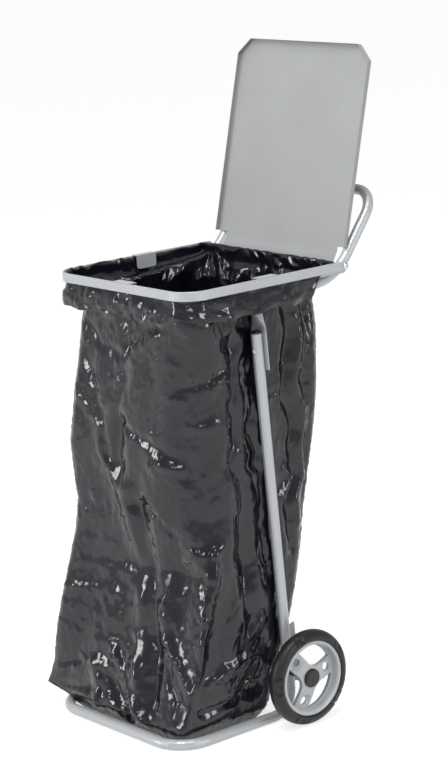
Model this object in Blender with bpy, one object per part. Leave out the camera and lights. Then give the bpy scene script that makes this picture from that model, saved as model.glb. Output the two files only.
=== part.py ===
"""Wheeled refuse sack stand: bent tube frame, handle, clamp ring, hinged lid, two wheels and a film sack.

Metres, +Z up, +X to the right of someone who pushes it, +Y towards the handle. The origin is on the floor,
under the middle of the whole stand. Depths named *_Y are measured from the front face of the clamp ring.
"""

import math

import bmesh
import bpy
from mathutils import Matrix, Vector

# Round tube of the frame and the handle
TUBE_RADIUS = 0.011
TUBE_WALL = 0.0030
HANDLE_WALL = 0.0010
TUBE_SIDES = 16
BEND_STEPS = 7

# Frame: a floor loop whose two rear ends turn up into the legs
LEG_SPACING = 0.412
FLOOR_FRONT_Y = -0.071
LEG_FOOT_Y = 0.2330
LEG_LEAN = math.radians(3.53)
LEG_TOP_Z = 0.822
FRONT_BEND = 0.070
REAR_BEND = 0.048

# Flat bar of the two rings
BAR_THICKNESS = 0.004
BAR_HEIGHT = 0.019
BAR_EDGE = 0.0006
RING_WIDTH = 0.433
RING_BEND = 0.050
INNER_RING_BEND = 0.043
RING_GAP = 0.0032
INNER_RING_DROP = 0.0065
REAR_BAR_HEIGHT = 0.012
REAR_BAR_RISE = 0.0025
REAR_BAR_AHEAD = 0.023
PIVOT_Y = 0.423
PIVOT_Z = 0.9225

# Handle: rises behind the rings, runs forward under them and drops to the legs
HANDLE_LEAN = math.radians(37.7)
HANDLE_BEHIND_PIVOT = 0.0118
HANDLE_TOP_Z = 1.058
HANDLE_TOP_BEND = 0.055
HANDLE_REAR_BEND = 0.120
HANDLE_DROP_BEND = 0.026
RUN_FRONT_Z = 0.8795
RUN_REAR_Z = 0.8983
FLAT_END_WIDTH = 0.032
FLAT_END_THICKNESS = 0.003
FLAT_END_Z = 0.746
FLAT_TOP_Z = 0.830

# Lid: one folded sheet with a rolled hinge edge
LID_SIDE_GAP = 0.0033
LID_REACH = 0.4527
LID_REAR = 0.0360
LID_CORNER_X = 0.035
LID_CORNER_V = 0.0325
LID_FOLD = 0.011
LID_SHEET = 0.0008
LID_OFFSET = 0.0133
LID_LEAN = math.radians(13.4)
TAB_STEP = 0.029
FOLD_RADIUS = 0.0020
ROD_RADIUS = 0.0035

# Clips on the clamp ring
CLIP_LENGTH = 0.052
CLIP_SHEET = 0.0013
CLIP_TOP = 0.0180
CLIP_LEAF = 0.0290
FRONT_CLIP_X = 0.0135
RIGHT_CLIP_Y = 0.2110
LEFT_CLIP_Y = 0.2360

# Fasteners
PIVOT_SCREW_RADIUS = 0.003
PIVOT_HEAD_RADIUS = 0.0065
END_SCREW_RADIUS = 0.0025
END_HEAD_RADIUS = 0.0048
END_SCREW_Z = 0.787
NUT_RADIUS = 0.0046
HOLE_CLEARANCE = 0.0003

# Wheels
WHEEL_RADIUS = 0.100
WHEEL_X = 0.2655
TYRE_WIDTH = 0.035
RIM_RADIUS = 0.079
RIM_WALL = 0.0065
WEB_OUTER = 0.0085
WEB_THICKNESS = 0.007
HUB_RADIUS = 0.0150
HUB_FACE = 0.0100
HUB_INNER = 0.0255
CAP_RADIUS = 0.0198
CAP_HEIGHT = 0.0078
AXLE_RADIUS = 0.006
ARM_COUNT = 3
ARM_ANGLE = math.radians(11)
ARM_HALF = math.radians(29)
WINDOW_INNER = 0.0270
WINDOW_OUTER = 0.0665
ARM_HOLE_RADIUS = 0.0085
ARM_HOLE_REACH = 0.0500
LUG_COUNT = 5
LUG_SWEEP = math.radians(19)
LUG_DEPTH = 0.0036
LUG_ANGLE = math.radians(104.5)

# Stiffening plates behind the legs
GUSSET_THICKNESS = 0.004
GUSSET_DEPTH = 0.0150
GUSSET_LOW_Z = 0.072
GUSSET_TOP_Z = 0.201
GUSSET_SLANT = 0.006

# Film sack
FILM = 0.001
SACK_SIDE = 10
SACK_CORNER = 5
REAR_FOLD_BEND = 0.0045
CUFF_DROP = 0.052
CUFF_BULGE = 0.013

SEAT = 0.0003

# Values that follow from the sizes above
LEG_X = LEG_SPACING / 2
RING_OUTER_X = RING_WIDTH / 2
RING_MID_X = RING_OUTER_X - BAR_THICKNESS / 2
INNER_OUTER_X = RING_OUTER_X - BAR_THICKNESS - RING_GAP
INNER_MID_X = INNER_OUTER_X - BAR_THICKNESS / 2
HANDLE_X = INNER_OUTER_X - BAR_THICKNESS - SEAT - TUBE_RADIUS
LID_WIDTH = 2 * (INNER_OUTER_X - BAR_THICKNESS - LID_SIDE_GAP)
TAB_WIDTH = LID_WIDTH - 2 * TAB_STEP
RING_MID_Z = PIVOT_Z
INNER_MID_Z = PIVOT_Z - INNER_RING_DROP
LEG_SLOPE = math.tan(LEG_LEAN)
HANDLE_SLOPE = math.tan(HANDLE_LEAN)
HANDLE_TOP_Y = PIVOT_Y + HANDLE_BEHIND_PIVOT + (HANDLE_TOP_Z - PIVOT_Z) * HANDLE_SLOPE
FRONT_EDGE_Y = FLOOR_FRONT_Y - TUBE_RADIUS
ORIGIN_Y = (FRONT_EDGE_Y + HANDLE_TOP_Y + TUBE_RADIUS) / 2
REAR_BAR_Y = PIVOT_Y - REAR_BAR_AHEAD
REAR_BAR_Z = PIVOT_Z + REAR_BAR_RISE
FOLD_Z = INNER_MID_Z + BAR_HEIGHT / 2
REAR_FOLD_Z = REAR_BAR_Z + REAR_BAR_HEIGHT / 2
RING_LOW_Z = PIVOT_Z - BAR_HEIGHT / 2


def leg_y(z):
    """Depth of a leg's centre line at a height."""
    return LEG_FOOT_Y + TUBE_RADIUS * LEG_SLOPE - z * LEG_SLOPE


def handle_y(z):
    """Depth of the handle leg's centre line at a height."""
    return PIVOT_Y + HANDLE_BEHIND_PIVOT + (z - PIVOT_Z) * HANDLE_SLOPE


def clear_scene():
    for old in list(bpy.data.objects):
        bpy.data.objects.remove(old, do_unlink=True)


def finish(name, colour, roughness, metallic):
    """A plain Principled material."""
    made = bpy.data.materials.new(name)
    made.use_nodes = True
    shader = made.node_tree.nodes["Principled BSDF"]
    shader.inputs["Base Color"].default_value = (*colour, 1.0)
    shader.inputs["Roughness"].default_value = roughness
    shader.inputs["Metallic"].default_value = metallic
    return made


def add(name, bm, material, parent, location=(0, 0, 0), turn=None):
    """Turns a bmesh into a named object under a parent."""
    mesh = bpy.data.meshes.new(name)
    bm.to_mesh(mesh)
    bm.free()
    mesh.materials.append(material)
    mesh.shade_smooth()
    mesh.set_sharp_from_angle(angle=math.radians(35))
    made = bpy.data.objects.new(name, mesh)
    bpy.context.scene.collection.objects.link(made)
    made.parent = parent
    made.location = location
    if turn is not None:
        made.rotation_euler = turn
    return made


def empty(name, location, parent=None):
    made = bpy.data.objects.new(name, None)
    bpy.context.scene.collection.objects.link(made)
    made.parent = parent
    made.location = location
    return made


def drill(target, centre, direction, radius, length):
    """Cuts a round hole with a hidden cylinder."""
    bm = bmesh.new()
    bmesh.ops.create_cone(
        bm, cap_ends=True, segments=16, radius1=radius, radius2=radius, depth=length
    )
    turn = Vector(direction).to_track_quat("Z", "Y").to_matrix().to_4x4()
    bmesh.ops.transform(bm, matrix=turn, verts=bm.verts)
    mesh = bpy.data.meshes.new("hole")
    bm.to_mesh(mesh)
    bm.free()
    cutter = bpy.data.objects.new("hole_in_" + target.name, mesh)
    bpy.context.scene.collection.objects.link(cutter)
    cutter.parent = target.parent
    cutter.location = centre
    cutter.hide_render = True
    cutter.display_type = "WIRE"
    cut = target.modifiers.new("hole", "BOOLEAN")
    cut.operation = "DIFFERENCE"
    cut.object = cutter


def rounded_path(corners, radii):
    """Points along straight runs through the corners, each inner corner bent to its radius."""
    corners = [Vector(point) for point in corners]
    points = [corners[0]]
    for before, corner, after, radius in zip(corners, corners[1:], corners[2:], radii):
        way_in = (before - corner).normalized()
        way_out = (after - corner).normalized()
        half = way_in.angle(way_out) / 2
        middle = corner + (way_in + way_out).normalized() * (radius / math.sin(half))
        start = corner + way_in * (radius / math.tan(half)) - middle
        axis = start.cross(-way_in).normalized()
        for step in range(BEND_STEPS + 1):
            turn = Matrix.Rotation((math.pi - 2 * half) * step / BEND_STEPS, 3, axis)
            points.append(middle + turn @ start)
    points.append(corners[-1])
    return points


def frames(points, up):
    """Position, side and up vectors along a path, the up vector carried along without twist."""
    found = []
    up = Vector(up).normalized()
    for index, point in enumerate(points):
        ahead = points[min(index + 1, len(points) - 1)] - point
        behind = point - points[max(index - 1, 0)]
        along = (ahead.normalized() + behind.normalized()).normalized()
        up = (up - along * up.dot(along)).normalized()
        bend = 1.0
        if 0 < index < len(points) - 1:
            bend = 1 / max(0.3, math.cos(ahead.angle(behind) / 2))
        found.append((point, along.cross(up), up, bend))
    return found


def skin(bm, rings, closed_ends=True):
    """Joins equal rings of points into a surface and may cap its two ends."""
    rows = [[bm.verts.new(point) for point in ring] for ring in rings]
    count = len(rows[0])
    for low, high in zip(rows, rows[1:]):
        for i in range(count):
            j = (i + 1) % count
            bm.faces.new((low[i], low[j], high[j], high[i]))
    if closed_ends:
        bm.faces.new(tuple(reversed(rows[0])))
        bm.faces.new(tuple(rows[-1]))
    return rows


def round_section(radius):
    turns = [2 * math.pi * (i + 0.5) / TUBE_SIDES for i in range(TUBE_SIDES)]
    return [(radius * math.cos(turn), radius * math.sin(turn)) for turn in turns]


def flat_section(width, thickness):
    """Outline of a squashed tube: flat sides and round edges."""
    points = []
    for i in range(TUBE_SIDES):
        turn = 2 * math.pi * (i + 0.5) / TUBE_SIDES
        across = math.copysign(abs(math.cos(turn)) ** 0.7, math.cos(turn))
        through = math.copysign(abs(math.sin(turn)) ** 0.35, math.sin(turn))
        points.append((across * width / 2, through * thickness / 2))
    return points


def bar_section():
    half_t = BAR_THICKNESS / 2
    half_h = BAR_HEIGHT / 2
    e = BAR_EDGE
    return [
        (half_t, -half_h + e),
        (half_t, half_h - e),
        (half_t - e, half_h),
        (-half_t + e, half_h),
        (-half_t, half_h - e),
        (-half_t, -half_h + e),
        (-half_t + e, -half_h),
        (half_t - e, -half_h),
    ]


def place(section, frame):
    point, side, up, _ = frame
    return [point + side * across + up * rise for across, rise in section]


def outward(bm):
    bmesh.ops.recalc_face_normals(bm, faces=bm.faces)
    return bm


def hollow_tube(points, up):
    """A bent tube with its wall, open at both ends."""
    bm = bmesh.new()
    path = frames(points, up)
    outer = skin(bm, [place(round_section(TUBE_RADIUS), f) for f in path], False)
    bore = round_section(TUBE_RADIUS - TUBE_WALL)
    inner = skin(bm, [place(bore, f) for f in path], False)
    for end in (0, -1):
        for i in range(TUBE_SIDES):
            j = (i + 1) % TUBE_SIDES
            bm.faces.new((outer[end][i], outer[end][j], inner[end][j], inner[end][i]))
    return outward(bm)


def swept_bar(corners, radii, round_ends):
    """Flat bar on edge along a level path, its ends rounded about the pivots if asked."""
    points = rounded_path(corners, radii)
    path = frames(points, (0, 0, 1))
    rings = [place(bar_section(), f) for f in path]
    if round_ends:
        steps = 4
        caps = []
        for end, sign in ((0, -1), (-1, 1)):
            point, side, up, _ = path[end]
            along = (points[1] - points[0]) if end == 0 else (points[-1] - points[-2])
            along = along.normalized() * sign
            half = BAR_HEIGHT / 2
            rows = []
            for step in range(1, steps + 1):
                turn = math.radians(85) * step / steps
                centre = point + along * half * math.sin(turn)
                section = [(across, rise * math.cos(turn)) for across, rise in bar_section()]
                rows.append(place(section, (centre, side, up, 1)))
            caps.append(rows)
        rings = list(reversed(caps[0])) + rings + caps[1]
    bm = bmesh.new()
    skin(bm, rings)
    return outward(bm)


def turned(profile, steps=24, closed=False):
    """A body turned about the X axis from (distance along X, radius) points."""
    bm = bmesh.new()
    verts = [bm.verts.new((along, 0, radius)) for along, radius in profile]
    edges = [bm.edges.new(pair) for pair in zip(verts, verts[1:])]
    if closed:
        edges.append(bm.edges.new((verts[-1], verts[0])))
    bmesh.ops.spin(
        bm,
        geom=verts + edges,
        cent=(0, 0, 0),
        axis=(1, 0, 0),
        angle=2 * math.pi,
        steps=steps,
    )
    bmesh.ops.remove_doubles(bm, verts=bm.verts, dist=1e-6)
    return outward(bm)


def base_frame(stand, steel):
    top_y = leg_y(LEG_TOP_Z)
    corners = []
    for side in (1, -1):
        leg = [
            (side * LEG_X, top_y, LEG_TOP_Z),
            (side * LEG_X, LEG_FOOT_Y, TUBE_RADIUS),
            (side * LEG_X, FLOOR_FRONT_Y, TUBE_RADIUS),
        ]
        corners += leg if side > 0 else list(reversed(leg))
    radii = (REAR_BEND, FRONT_BEND, FRONT_BEND, REAR_BEND)
    made = add("base_frame", hollow_tube(rounded_path(corners, radii), (1, 0, 0)), steel, stand)
    for side in (1, -1):
        axle_hole = AXLE_RADIUS + HOLE_CLEARANCE
        centre = (side * LEG_X, leg_y(WHEEL_RADIUS), WHEEL_RADIUS)
        drill(made, centre, (1, 0, 0), axle_hole, TUBE_RADIUS * 3)
        screw_hole = END_SCREW_RADIUS + HOLE_CLEARANCE
        centre = (side * LEG_X, leg_y(END_SCREW_Z), END_SCREW_Z)
        drill(made, centre, leg_normal(), screw_hole, TUBE_RADIUS * 3)
    return made


def leg_normal():
    """Level direction square to the legs, towards the rear."""
    return (0, math.cos(LEG_LEAN), math.sin(LEG_LEAN))


def leg_axis():
    return Vector((0, -math.sin(LEG_LEAN), math.cos(LEG_LEAN)))


def leg_plugs(stand, plastic):
    """Domed plugs pressed into the open leg tops."""
    bore = TUBE_RADIUS - TUBE_WALL - SEAT
    for side, word in ((1, "right"), (-1, "left")):
        profile = [
            (-0.014, 0.0),
            (-0.014, bore - 0.001),
            (-0.012, bore),
            (SEAT, bore),
            (SEAT, TUBE_RADIUS - 0.0005),
            (0.0035, TUBE_RADIUS - 0.0006),
            (0.0052, TUBE_RADIUS - 0.0030),
            (0.0060, 0.0),
        ]
        bm = turned(profile, TUBE_SIDES)
        upright = Vector(leg_axis()).to_track_quat("X", "Y").to_matrix().to_4x4()
        bmesh.ops.transform(bm, matrix=upright, verts=bm.verts)
        add("leg_plug_" + word, bm, plastic, stand, (side * LEG_X, leg_y(LEG_TOP_Z), LEG_TOP_Z))


def handle_frame(stand, steel):
    """One bent tube whose two ends are squashed flat and bolted behind the leg tops."""
    behind = (TUBE_RADIUS + SEAT + FLAT_END_THICKNESS / 2) / math.cos(LEG_LEAN)
    drop_y = leg_y(RUN_FRONT_Z) + behind
    corners = []
    for side in (1, -1):
        half = [
            (side * LEG_X, leg_y(FLAT_END_Z) + behind, FLAT_END_Z),
            (side * LEG_X, leg_y(FLAT_TOP_Z) + behind, FLAT_TOP_Z),
            (side * (HANDLE_X + 0.001), drop_y, RUN_FRONT_Z),
            (side * HANDLE_X, handle_y(RUN_REAR_Z), RUN_REAR_Z),
            (side * HANDLE_X, HANDLE_TOP_Y, HANDLE_TOP_Z),
        ]
        corners += half if side > 0 else list(reversed(half))
    side_radii = (0.020, HANDLE_DROP_BEND, HANDLE_REAR_BEND, HANDLE_TOP_BEND)
    points = rounded_path(corners, side_radii + tuple(reversed(side_radii)))
    path = frames(points, (0, 1, 0))
    round_z = RUN_FRONT_Z - 0.012
    rings = []
    bores = []
    for frame in path:
        low = frame[0].z
        squash = min(1.0, max(0.0, (round_z - low) / (round_z - FLAT_TOP_Z)))
        squash = squash * squash * (3 - 2 * squash)
        half_w = TUBE_RADIUS + (FLAT_END_WIDTH / 2 - TUBE_RADIUS) * squash
        half_t = TUBE_RADIUS + (FLAT_END_THICKNESS / 2 - TUBE_RADIUS) * squash
        pairs = zip(round_section(TUBE_RADIUS), flat_section(FLAT_END_WIDTH, FLAT_END_THICKNESS))
        section = [
            (a[0] + (b[0] - a[0]) * squash, a[1] + (b[1] - a[1]) * squash) for a, b in pairs
        ]
        rings.append(place(section, frame))
        if squash < 0.6:
            slim_w = 1 - HANDLE_WALL / half_w
            slim_t = 1 - HANDLE_WALL / half_t
            bores.append(place([(a * slim_w, b * slim_t) for a, b in section], frame))
    bm = bmesh.new()
    skin(bm, rings)
    skin(bm, bores)
    bmesh.ops.recalc_face_normals(bm, faces=bm.faces)
    inner = sorted(bm.faces, key=lambda face: face.index)
    hollow = len(bores) * TUBE_SIDES - TUBE_SIDES + 2
    bmesh.ops.reverse_faces(bm, faces=inner[-hollow:])
    made = add("handle_frame", bm, steel, stand)
    for side in (1, -1):
        hole = END_SCREW_RADIUS + HOLE_CLEARANCE
        centre = Vector((side * LEG_X, leg_y(END_SCREW_Z), END_SCREW_Z))
        centre += Vector(leg_normal()) * (TUBE_RADIUS + SEAT + FLAT_END_THICKNESS / 2)
        drill(made, centre, leg_normal(), hole, FLAT_END_THICKNESS * 4)
        hole = PIVOT_SCREW_RADIUS + HOLE_CLEARANCE
        drill(made, (side * HANDLE_X, PIVOT_Y, PIVOT_Z), (1, 0, 0), hole, TUBE_RADIUS * 3)
    return made


def ring_corners(mid_x, front_y, z):
    return [(mid_x, PIVOT_Y, z), (mid_x, front_y, z), (-mid_x, front_y, z), (-mid_x, PIVOT_Y, z)]


def clamp_ring(pivot, steel):
    front = BAR_THICKNESS / 2
    corners = ring_corners(RING_MID_X, front, RING_MID_Z)
    local = [Vector(c) - Vector((0, PIVOT_Y, PIVOT_Z)) for c in corners]
    made = add("clamp_ring", swept_bar(local, (RING_BEND, RING_BEND), True), steel, pivot)
    hole = PIVOT_SCREW_RADIUS + HOLE_CLEARANCE
    for side in (1, -1):
        drill(made, (side * RING_MID_X, 0, 0), (1, 0, 0), hole, BAR_THICKNESS * 4)


def inner_ring(stand, steel):
    front = BAR_THICKNESS * 1.5 + RING_GAP
    corners = ring_corners(INNER_MID_X, front, INNER_MID_Z)
    made = add("inner_ring", swept_bar(corners, (INNER_RING_BEND, INNER_RING_BEND), True), steel, stand)
    hole = PIVOT_SCREW_RADIUS + HOLE_CLEARANCE
    for side in (1, -1):
        drill(made, (side * INNER_MID_X, PIVOT_Y, PIVOT_Z), (1, 0, 0), hole, BAR_THICKNESS * 4)


def rear_bar(stand, steel):
    """Flat bar welded across between the inner ring's sides, which carries the sack's rear edge."""
    reach = INNER_OUTER_X - BAR_THICKNESS - SEAT
    corners = [(reach, REAR_BAR_Y, REAR_BAR_Z), (-reach, REAR_BAR_Y, REAR_BAR_Z)]
    points = frames([Vector(corner) for corner in corners], (0, 0, 1))
    section = [(across, rise * REAR_BAR_HEIGHT / BAR_HEIGHT) for across, rise in bar_section()]
    bm = bmesh.new()
    skin(bm, [place(section, frame) for frame in points])
    add("rear_bar", outward(bm), steel, stand)


def clip(name, pivot, steel, centre, inward):
    """Angle of sheet: a top on the ring's upper edge and a leaf that hangs inside the inner ring."""
    inward = Vector(inward)
    along = Vector((0, 0, 1)).cross(inward)
    half = CLIP_LENGTH / 2
    top = BAR_HEIGHT / 2 + SEAT
    corner = 0.006
    bm = bmesh.new()
    outline = [(-half, top + CLIP_SHEET), (-half, top + CLIP_SHEET - CLIP_LEAF + corner)]
    for step in range(4):
        turn = math.pi / 2 * step / 3
        low = top + CLIP_SHEET - CLIP_LEAF + corner - corner * math.sin(turn)
        outline.append((-half + corner - corner * math.cos(turn), low))
    outline += [(-along_mm, low) for along_mm, low in reversed(outline)]
    leaf_in = CLIP_TOP - CLIP_SHEET
    leaf = []
    for depth in (leaf_in, CLIP_TOP):
        ring = [along * a + inward * depth + Vector((0, 0, h)) for a, h in outline]
        leaf.append([bm.verts.new(p) for p in ring])
    count = len(outline)
    bm.faces.new(leaf[0])
    bm.faces.new(leaf[1])
    for i in range(count):
        j = (i + 1) % count
        bm.faces.new((leaf[0][i], leaf[0][j], leaf[1][j], leaf[1][i]))
    bmesh.ops.remove_doubles(bm, verts=bm.verts, dist=1e-7)
    made = add(name, outward(bm), steel, pivot, Vector(centre))
    plate = bmesh.new()
    bmesh.ops.create_cube(plate, size=1.0)
    size = along * CLIP_LENGTH + inward * (CLIP_TOP - CLIP_SHEET / 2)
    size = Vector((abs(size.x), abs(size.y), CLIP_SHEET))
    middle = inward * (CLIP_TOP - CLIP_SHEET / 2) / 2 + Vector((0, 0, top + CLIP_SHEET / 2))
    bmesh.ops.scale(plate, vec=size, verts=plate.verts)
    bmesh.ops.translate(plate, vec=middle, verts=plate.verts)
    mesh = bpy.data.meshes.new(name + "_top")
    plate.to_mesh(mesh)
    plate.free()
    top_part = bpy.data.objects.new(name + "_top", mesh)
    bpy.context.scene.collection.objects.link(top_part)
    top_part.parent = pivot
    top_part.location = Vector(centre)
    top_part.hide_render = True
    top_part.display_type = "WIRE"
    weld = made.modifiers.new("fold", "BOOLEAN")
    weld.operation = "UNION"
    weld.object = top_part


def ring_clips(pivot, steel):
    front = Vector((FRONT_CLIP_X, -PIVOT_Y, 0))
    clip("front_clip", pivot, steel, front, (0, 1, 0))
    clip("right_clip", pivot, steel, (RING_OUTER_X, RIGHT_CLIP_Y - PIVOT_Y, 0), (-1, 0, 0))
    clip("left_clip", pivot, steel, (-RING_OUTER_X, LEFT_CLIP_Y - PIVOT_Y, 0), (1, 0, 0))


def lid(hinge, sheet):
    """Folded sheet: panel, turned-down edges with cut corners, and a rear tab rolled round the hinge rod."""
    half = LID_WIDTH / 2 - LID_SHEET / 2
    tab = TAB_WIDTH / 2
    top = LID_REACH - LID_SHEET / 2
    outline = [
        (-tab, LID_REAR),
        (-half, LID_REAR),
        (-half, top - LID_CORNER_V),
        (-half + LID_CORNER_X, top),
        (half - LID_CORNER_X, top),
        (half, top - LID_CORNER_V),
        (half, LID_REAR),
        (tab, LID_REAR),
    ]
    bm = bmesh.new()
    verts = [bm.verts.new((x, LID_OFFSET, v)) for x, v in outline]
    bm.faces.new(verts)
    bm.edges.ensure_lookup_table()
    folded = [bm.edges.get((verts[i], verts[i + 1])) for i in range(1, 6)]
    grown = bmesh.ops.extrude_edge_only(bm, edges=folded)["geom"]
    moved = [item for item in grown if isinstance(item, bmesh.types.BMVert)]
    bmesh.ops.translate(bm, vec=(0, -LID_FOLD + LID_SHEET / 2, 0), verts=moved)

    roll = ROD_RADIUS + HOLE_CLEARANCE + LID_SHEET / 2
    slope_top = Vector((LID_OFFSET, LID_REAR - 0.010))
    away = slope_top.length
    start = math.atan2(slope_top.y, slope_top.x) - math.acos(roll / away)
    path = [slope_top]
    turn_steps = 10
    for step in range(turn_steps + 1):
        turn = start - math.radians(285) * step / turn_steps
        path.append(Vector((roll * math.cos(turn), roll * math.sin(turn))))
    edge = [verts[-1], verts[0]]
    for point in path:
        new = [bm.verts.new((v.co.x, point.x, point.y)) for v in edge]
        bm.faces.new((edge[0], edge[1], new[1], new[0]))
        edge = new
    bmesh.ops.recalc_face_normals(bm, faces=bm.faces)
    made = add("lid", bm, sheet, hinge, turn=(-LID_LEAN, 0, 0))
    fold = made.modifiers.new("folds", "BEVEL")
    fold.width = FOLD_RADIUS
    fold.segments = 2
    fold.limit_method = "ANGLE"
    fold.angle_limit = math.radians(40)
    wall = made.modifiers.new("sheet", "SOLIDIFY")
    wall.thickness = LID_SHEET
    wall.offset = 0
    wall.use_even_offset = True


def hinge_parts(stand, ring_pivot, steel, zinc):
    """Rod of the lid hinge between the handle legs, with the screws that also carry the clamp ring."""
    rod_end = HANDLE_X - TUBE_RADIUS - SEAT
    depth = 0.015
    screw = PIVOT_SCREW_RADIUS
    bore = screw + HOLE_CLEARANCE
    profile = [
        (-rod_end, bore),
        (-rod_end, ROD_RADIUS),
        (rod_end, ROD_RADIUS),
        (rod_end, bore),
        (rod_end - depth - 0.002, bore),
        (rod_end - depth - 0.002, 0.0),
        (-rod_end + depth + 0.002, 0.0),
        (-rod_end + depth + 0.002, bore),
        (-rod_end, bore),
    ]
    add("hinge_rod", turned(profile[:-1], 16, closed=True), zinc, stand, (0, PIVOT_Y, PIVOT_Z))
    for side, word in ((1, "right"), (-1, "left")):
        seat = RING_OUTER_X + SEAT
        head = [
            (rod_end - depth, 0.0),
            (rod_end - depth, screw),
            (seat, screw),
            (seat, PIVOT_HEAD_RADIUS),
            (seat + 0.0012, PIVOT_HEAD_RADIUS),
            (seat + 0.0030, PIVOT_HEAD_RADIUS * 0.72),
            (seat + 0.0036, 0.0),
        ]
        bm = turned([(side * along, radius) for along, radius in head], 20)
        add("pivot_screw_" + word, bm, zinc, stand, (0, PIVOT_Y, PIVOT_Z))
        inner = INNER_OUTER_X + SEAT
        outer = RING_OUTER_X - BAR_THICKNESS - SEAT
        washer = [(inner, bore), (outer, bore), (outer, 0.0080), (inner, 0.0080)]
        bm = turned([(side * along, radius) for along, radius in washer], 20, closed=True)
        add("pivot_washer_" + word, bm, zinc, stand, (0, PIVOT_Y, PIVOT_Z))


def end_fasteners(stand, zinc):
    """Pan screw through each leg top and flattened handle end, with a domed nut behind."""
    front = TUBE_RADIUS + SEAT
    rear = TUBE_RADIUS + SEAT * 2 + FLAT_END_THICKNESS
    upright = Vector(leg_normal()).to_track_quat("X", "Z").to_matrix().to_4x4()
    for side, word in ((1, "right"), (-1, "left")):
        centre = (side * LEG_X, leg_y(END_SCREW_Z), END_SCREW_Z)
        tip = rear + 0.0045
        profile = [
            (-front - 0.0032, 0.0),
            (-front - 0.0026, END_HEAD_RADIUS * 0.7),
            (-front - 0.0008, END_HEAD_RADIUS),
            (-front, END_HEAD_RADIUS),
            (-front, END_SCREW_RADIUS),
            (tip, END_SCREW_RADIUS),
            (tip, 0.0),
        ]
        bm = turned(profile, 16)
        bmesh.ops.transform(bm, matrix=upright, verts=bm.verts)
        add("end_screw_" + word, bm, zinc, stand, centre)
        bore = END_SCREW_RADIUS + HOLE_CLEARANCE
        nut = [
            (rear, bore),
            (rear, NUT_RADIUS),
            (rear + 0.0040, NUT_RADIUS),
            (rear + 0.0044, NUT_RADIUS * 0.86),
            (rear + 0.0070, NUT_RADIUS * 0.62),
            (rear + 0.0082, 0.0),
            (tip + 0.0008, 0.0),
            (tip + 0.0008, bore),
        ]
        bm = turned(nut, 18, closed=True)
        bmesh.ops.transform(bm, matrix=upright, verts=bm.verts)
        add("dome_nut_" + word, bm, zinc, stand, centre)


def gussets(stand, steel):
    for side, word in ((1, "right"), (-1, "left")):
        touch = TUBE_RADIUS / math.cos(LEG_LEAN) + SEAT
        heights = (
            (GUSSET_LOW_Z, 0.0),
            (GUSSET_LOW_Z + GUSSET_SLANT, GUSSET_DEPTH),
            (GUSSET_TOP_Z, GUSSET_DEPTH),
            (GUSSET_TOP_Z - GUSSET_SLANT, 0.0),
        )
        outline = [(leg_y(z) + touch + back, z) for z, back in heights]
        bm = bmesh.new()
        face = bm.faces.new([bm.verts.new((-GUSSET_THICKNESS / 2, y, z)) for y, z in outline])
        grown = bmesh.ops.extrude_face_region(bm, geom=[face])["geom"]
        moved = [item for item in grown if isinstance(item, bmesh.types.BMVert)]
        bmesh.ops.translate(bm, vec=(GUSSET_THICKNESS, 0, 0), verts=moved)
        add("leg_gusset_" + word, outward(bm), steel, stand, (side * LEG_X, 0, 0))


def rim(word, side, hub, plastic):
    """Moulded wheel centre: barrel, web with three arms and hub, in one piece."""
    web_in = WEB_OUTER - WEB_THICKNESS
    bore = AXLE_RADIUS + HOLE_CLEARANCE
    half = TYRE_WIDTH / 2
    barrel = RIM_RADIUS - RIM_WALL
    profile = [
        (HUB_FACE, bore),
        (HUB_FACE, CAP_RADIUS + 0.0012),
        (WEB_OUTER, CAP_RADIUS + 0.0030),
        (WEB_OUTER, barrel - 0.004),
        (WEB_OUTER + 0.003, barrel),
        (half - 0.0015, RIM_RADIUS - 0.0040),
        (half - 0.0010, RIM_RADIUS - 0.0010),
        (half - 0.0035, RIM_RADIUS),
        (-half + 0.0035, RIM_RADIUS),
        (-half + 0.0010, RIM_RADIUS - 0.0010),
        (-half + 0.0015, RIM_RADIUS - 0.0040),
        (web_in - 0.003, barrel),
        (web_in, barrel - 0.003),
        (web_in, HUB_RADIUS + 0.0020),
        (web_in - 0.002, HUB_RADIUS),
        (-HUB_INNER, HUB_RADIUS - 0.0015),
        (-HUB_INNER, bore),
    ]
    bm = turned([(side * along, radius) for along, radius in profile], 36, closed=True)
    made = add("wheel_rim_" + word, bm, plastic, hub)
    for index in range(ARM_COUNT):
        arm = ARM_ANGLE + index * 2 * math.pi / ARM_COUNT
        hole_at = (side * web_in, ARM_HOLE_REACH * math.cos(arm), ARM_HOLE_REACH * math.sin(arm))
        drill(made, hole_at, (1, 0, 0), ARM_HOLE_RADIUS, WEB_THICKNESS * 4)
        middle = arm + math.pi / ARM_COUNT
        sweep = math.pi / ARM_COUNT - ARM_HALF
        window(made, hub, side * web_in, middle, sweep)


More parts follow.
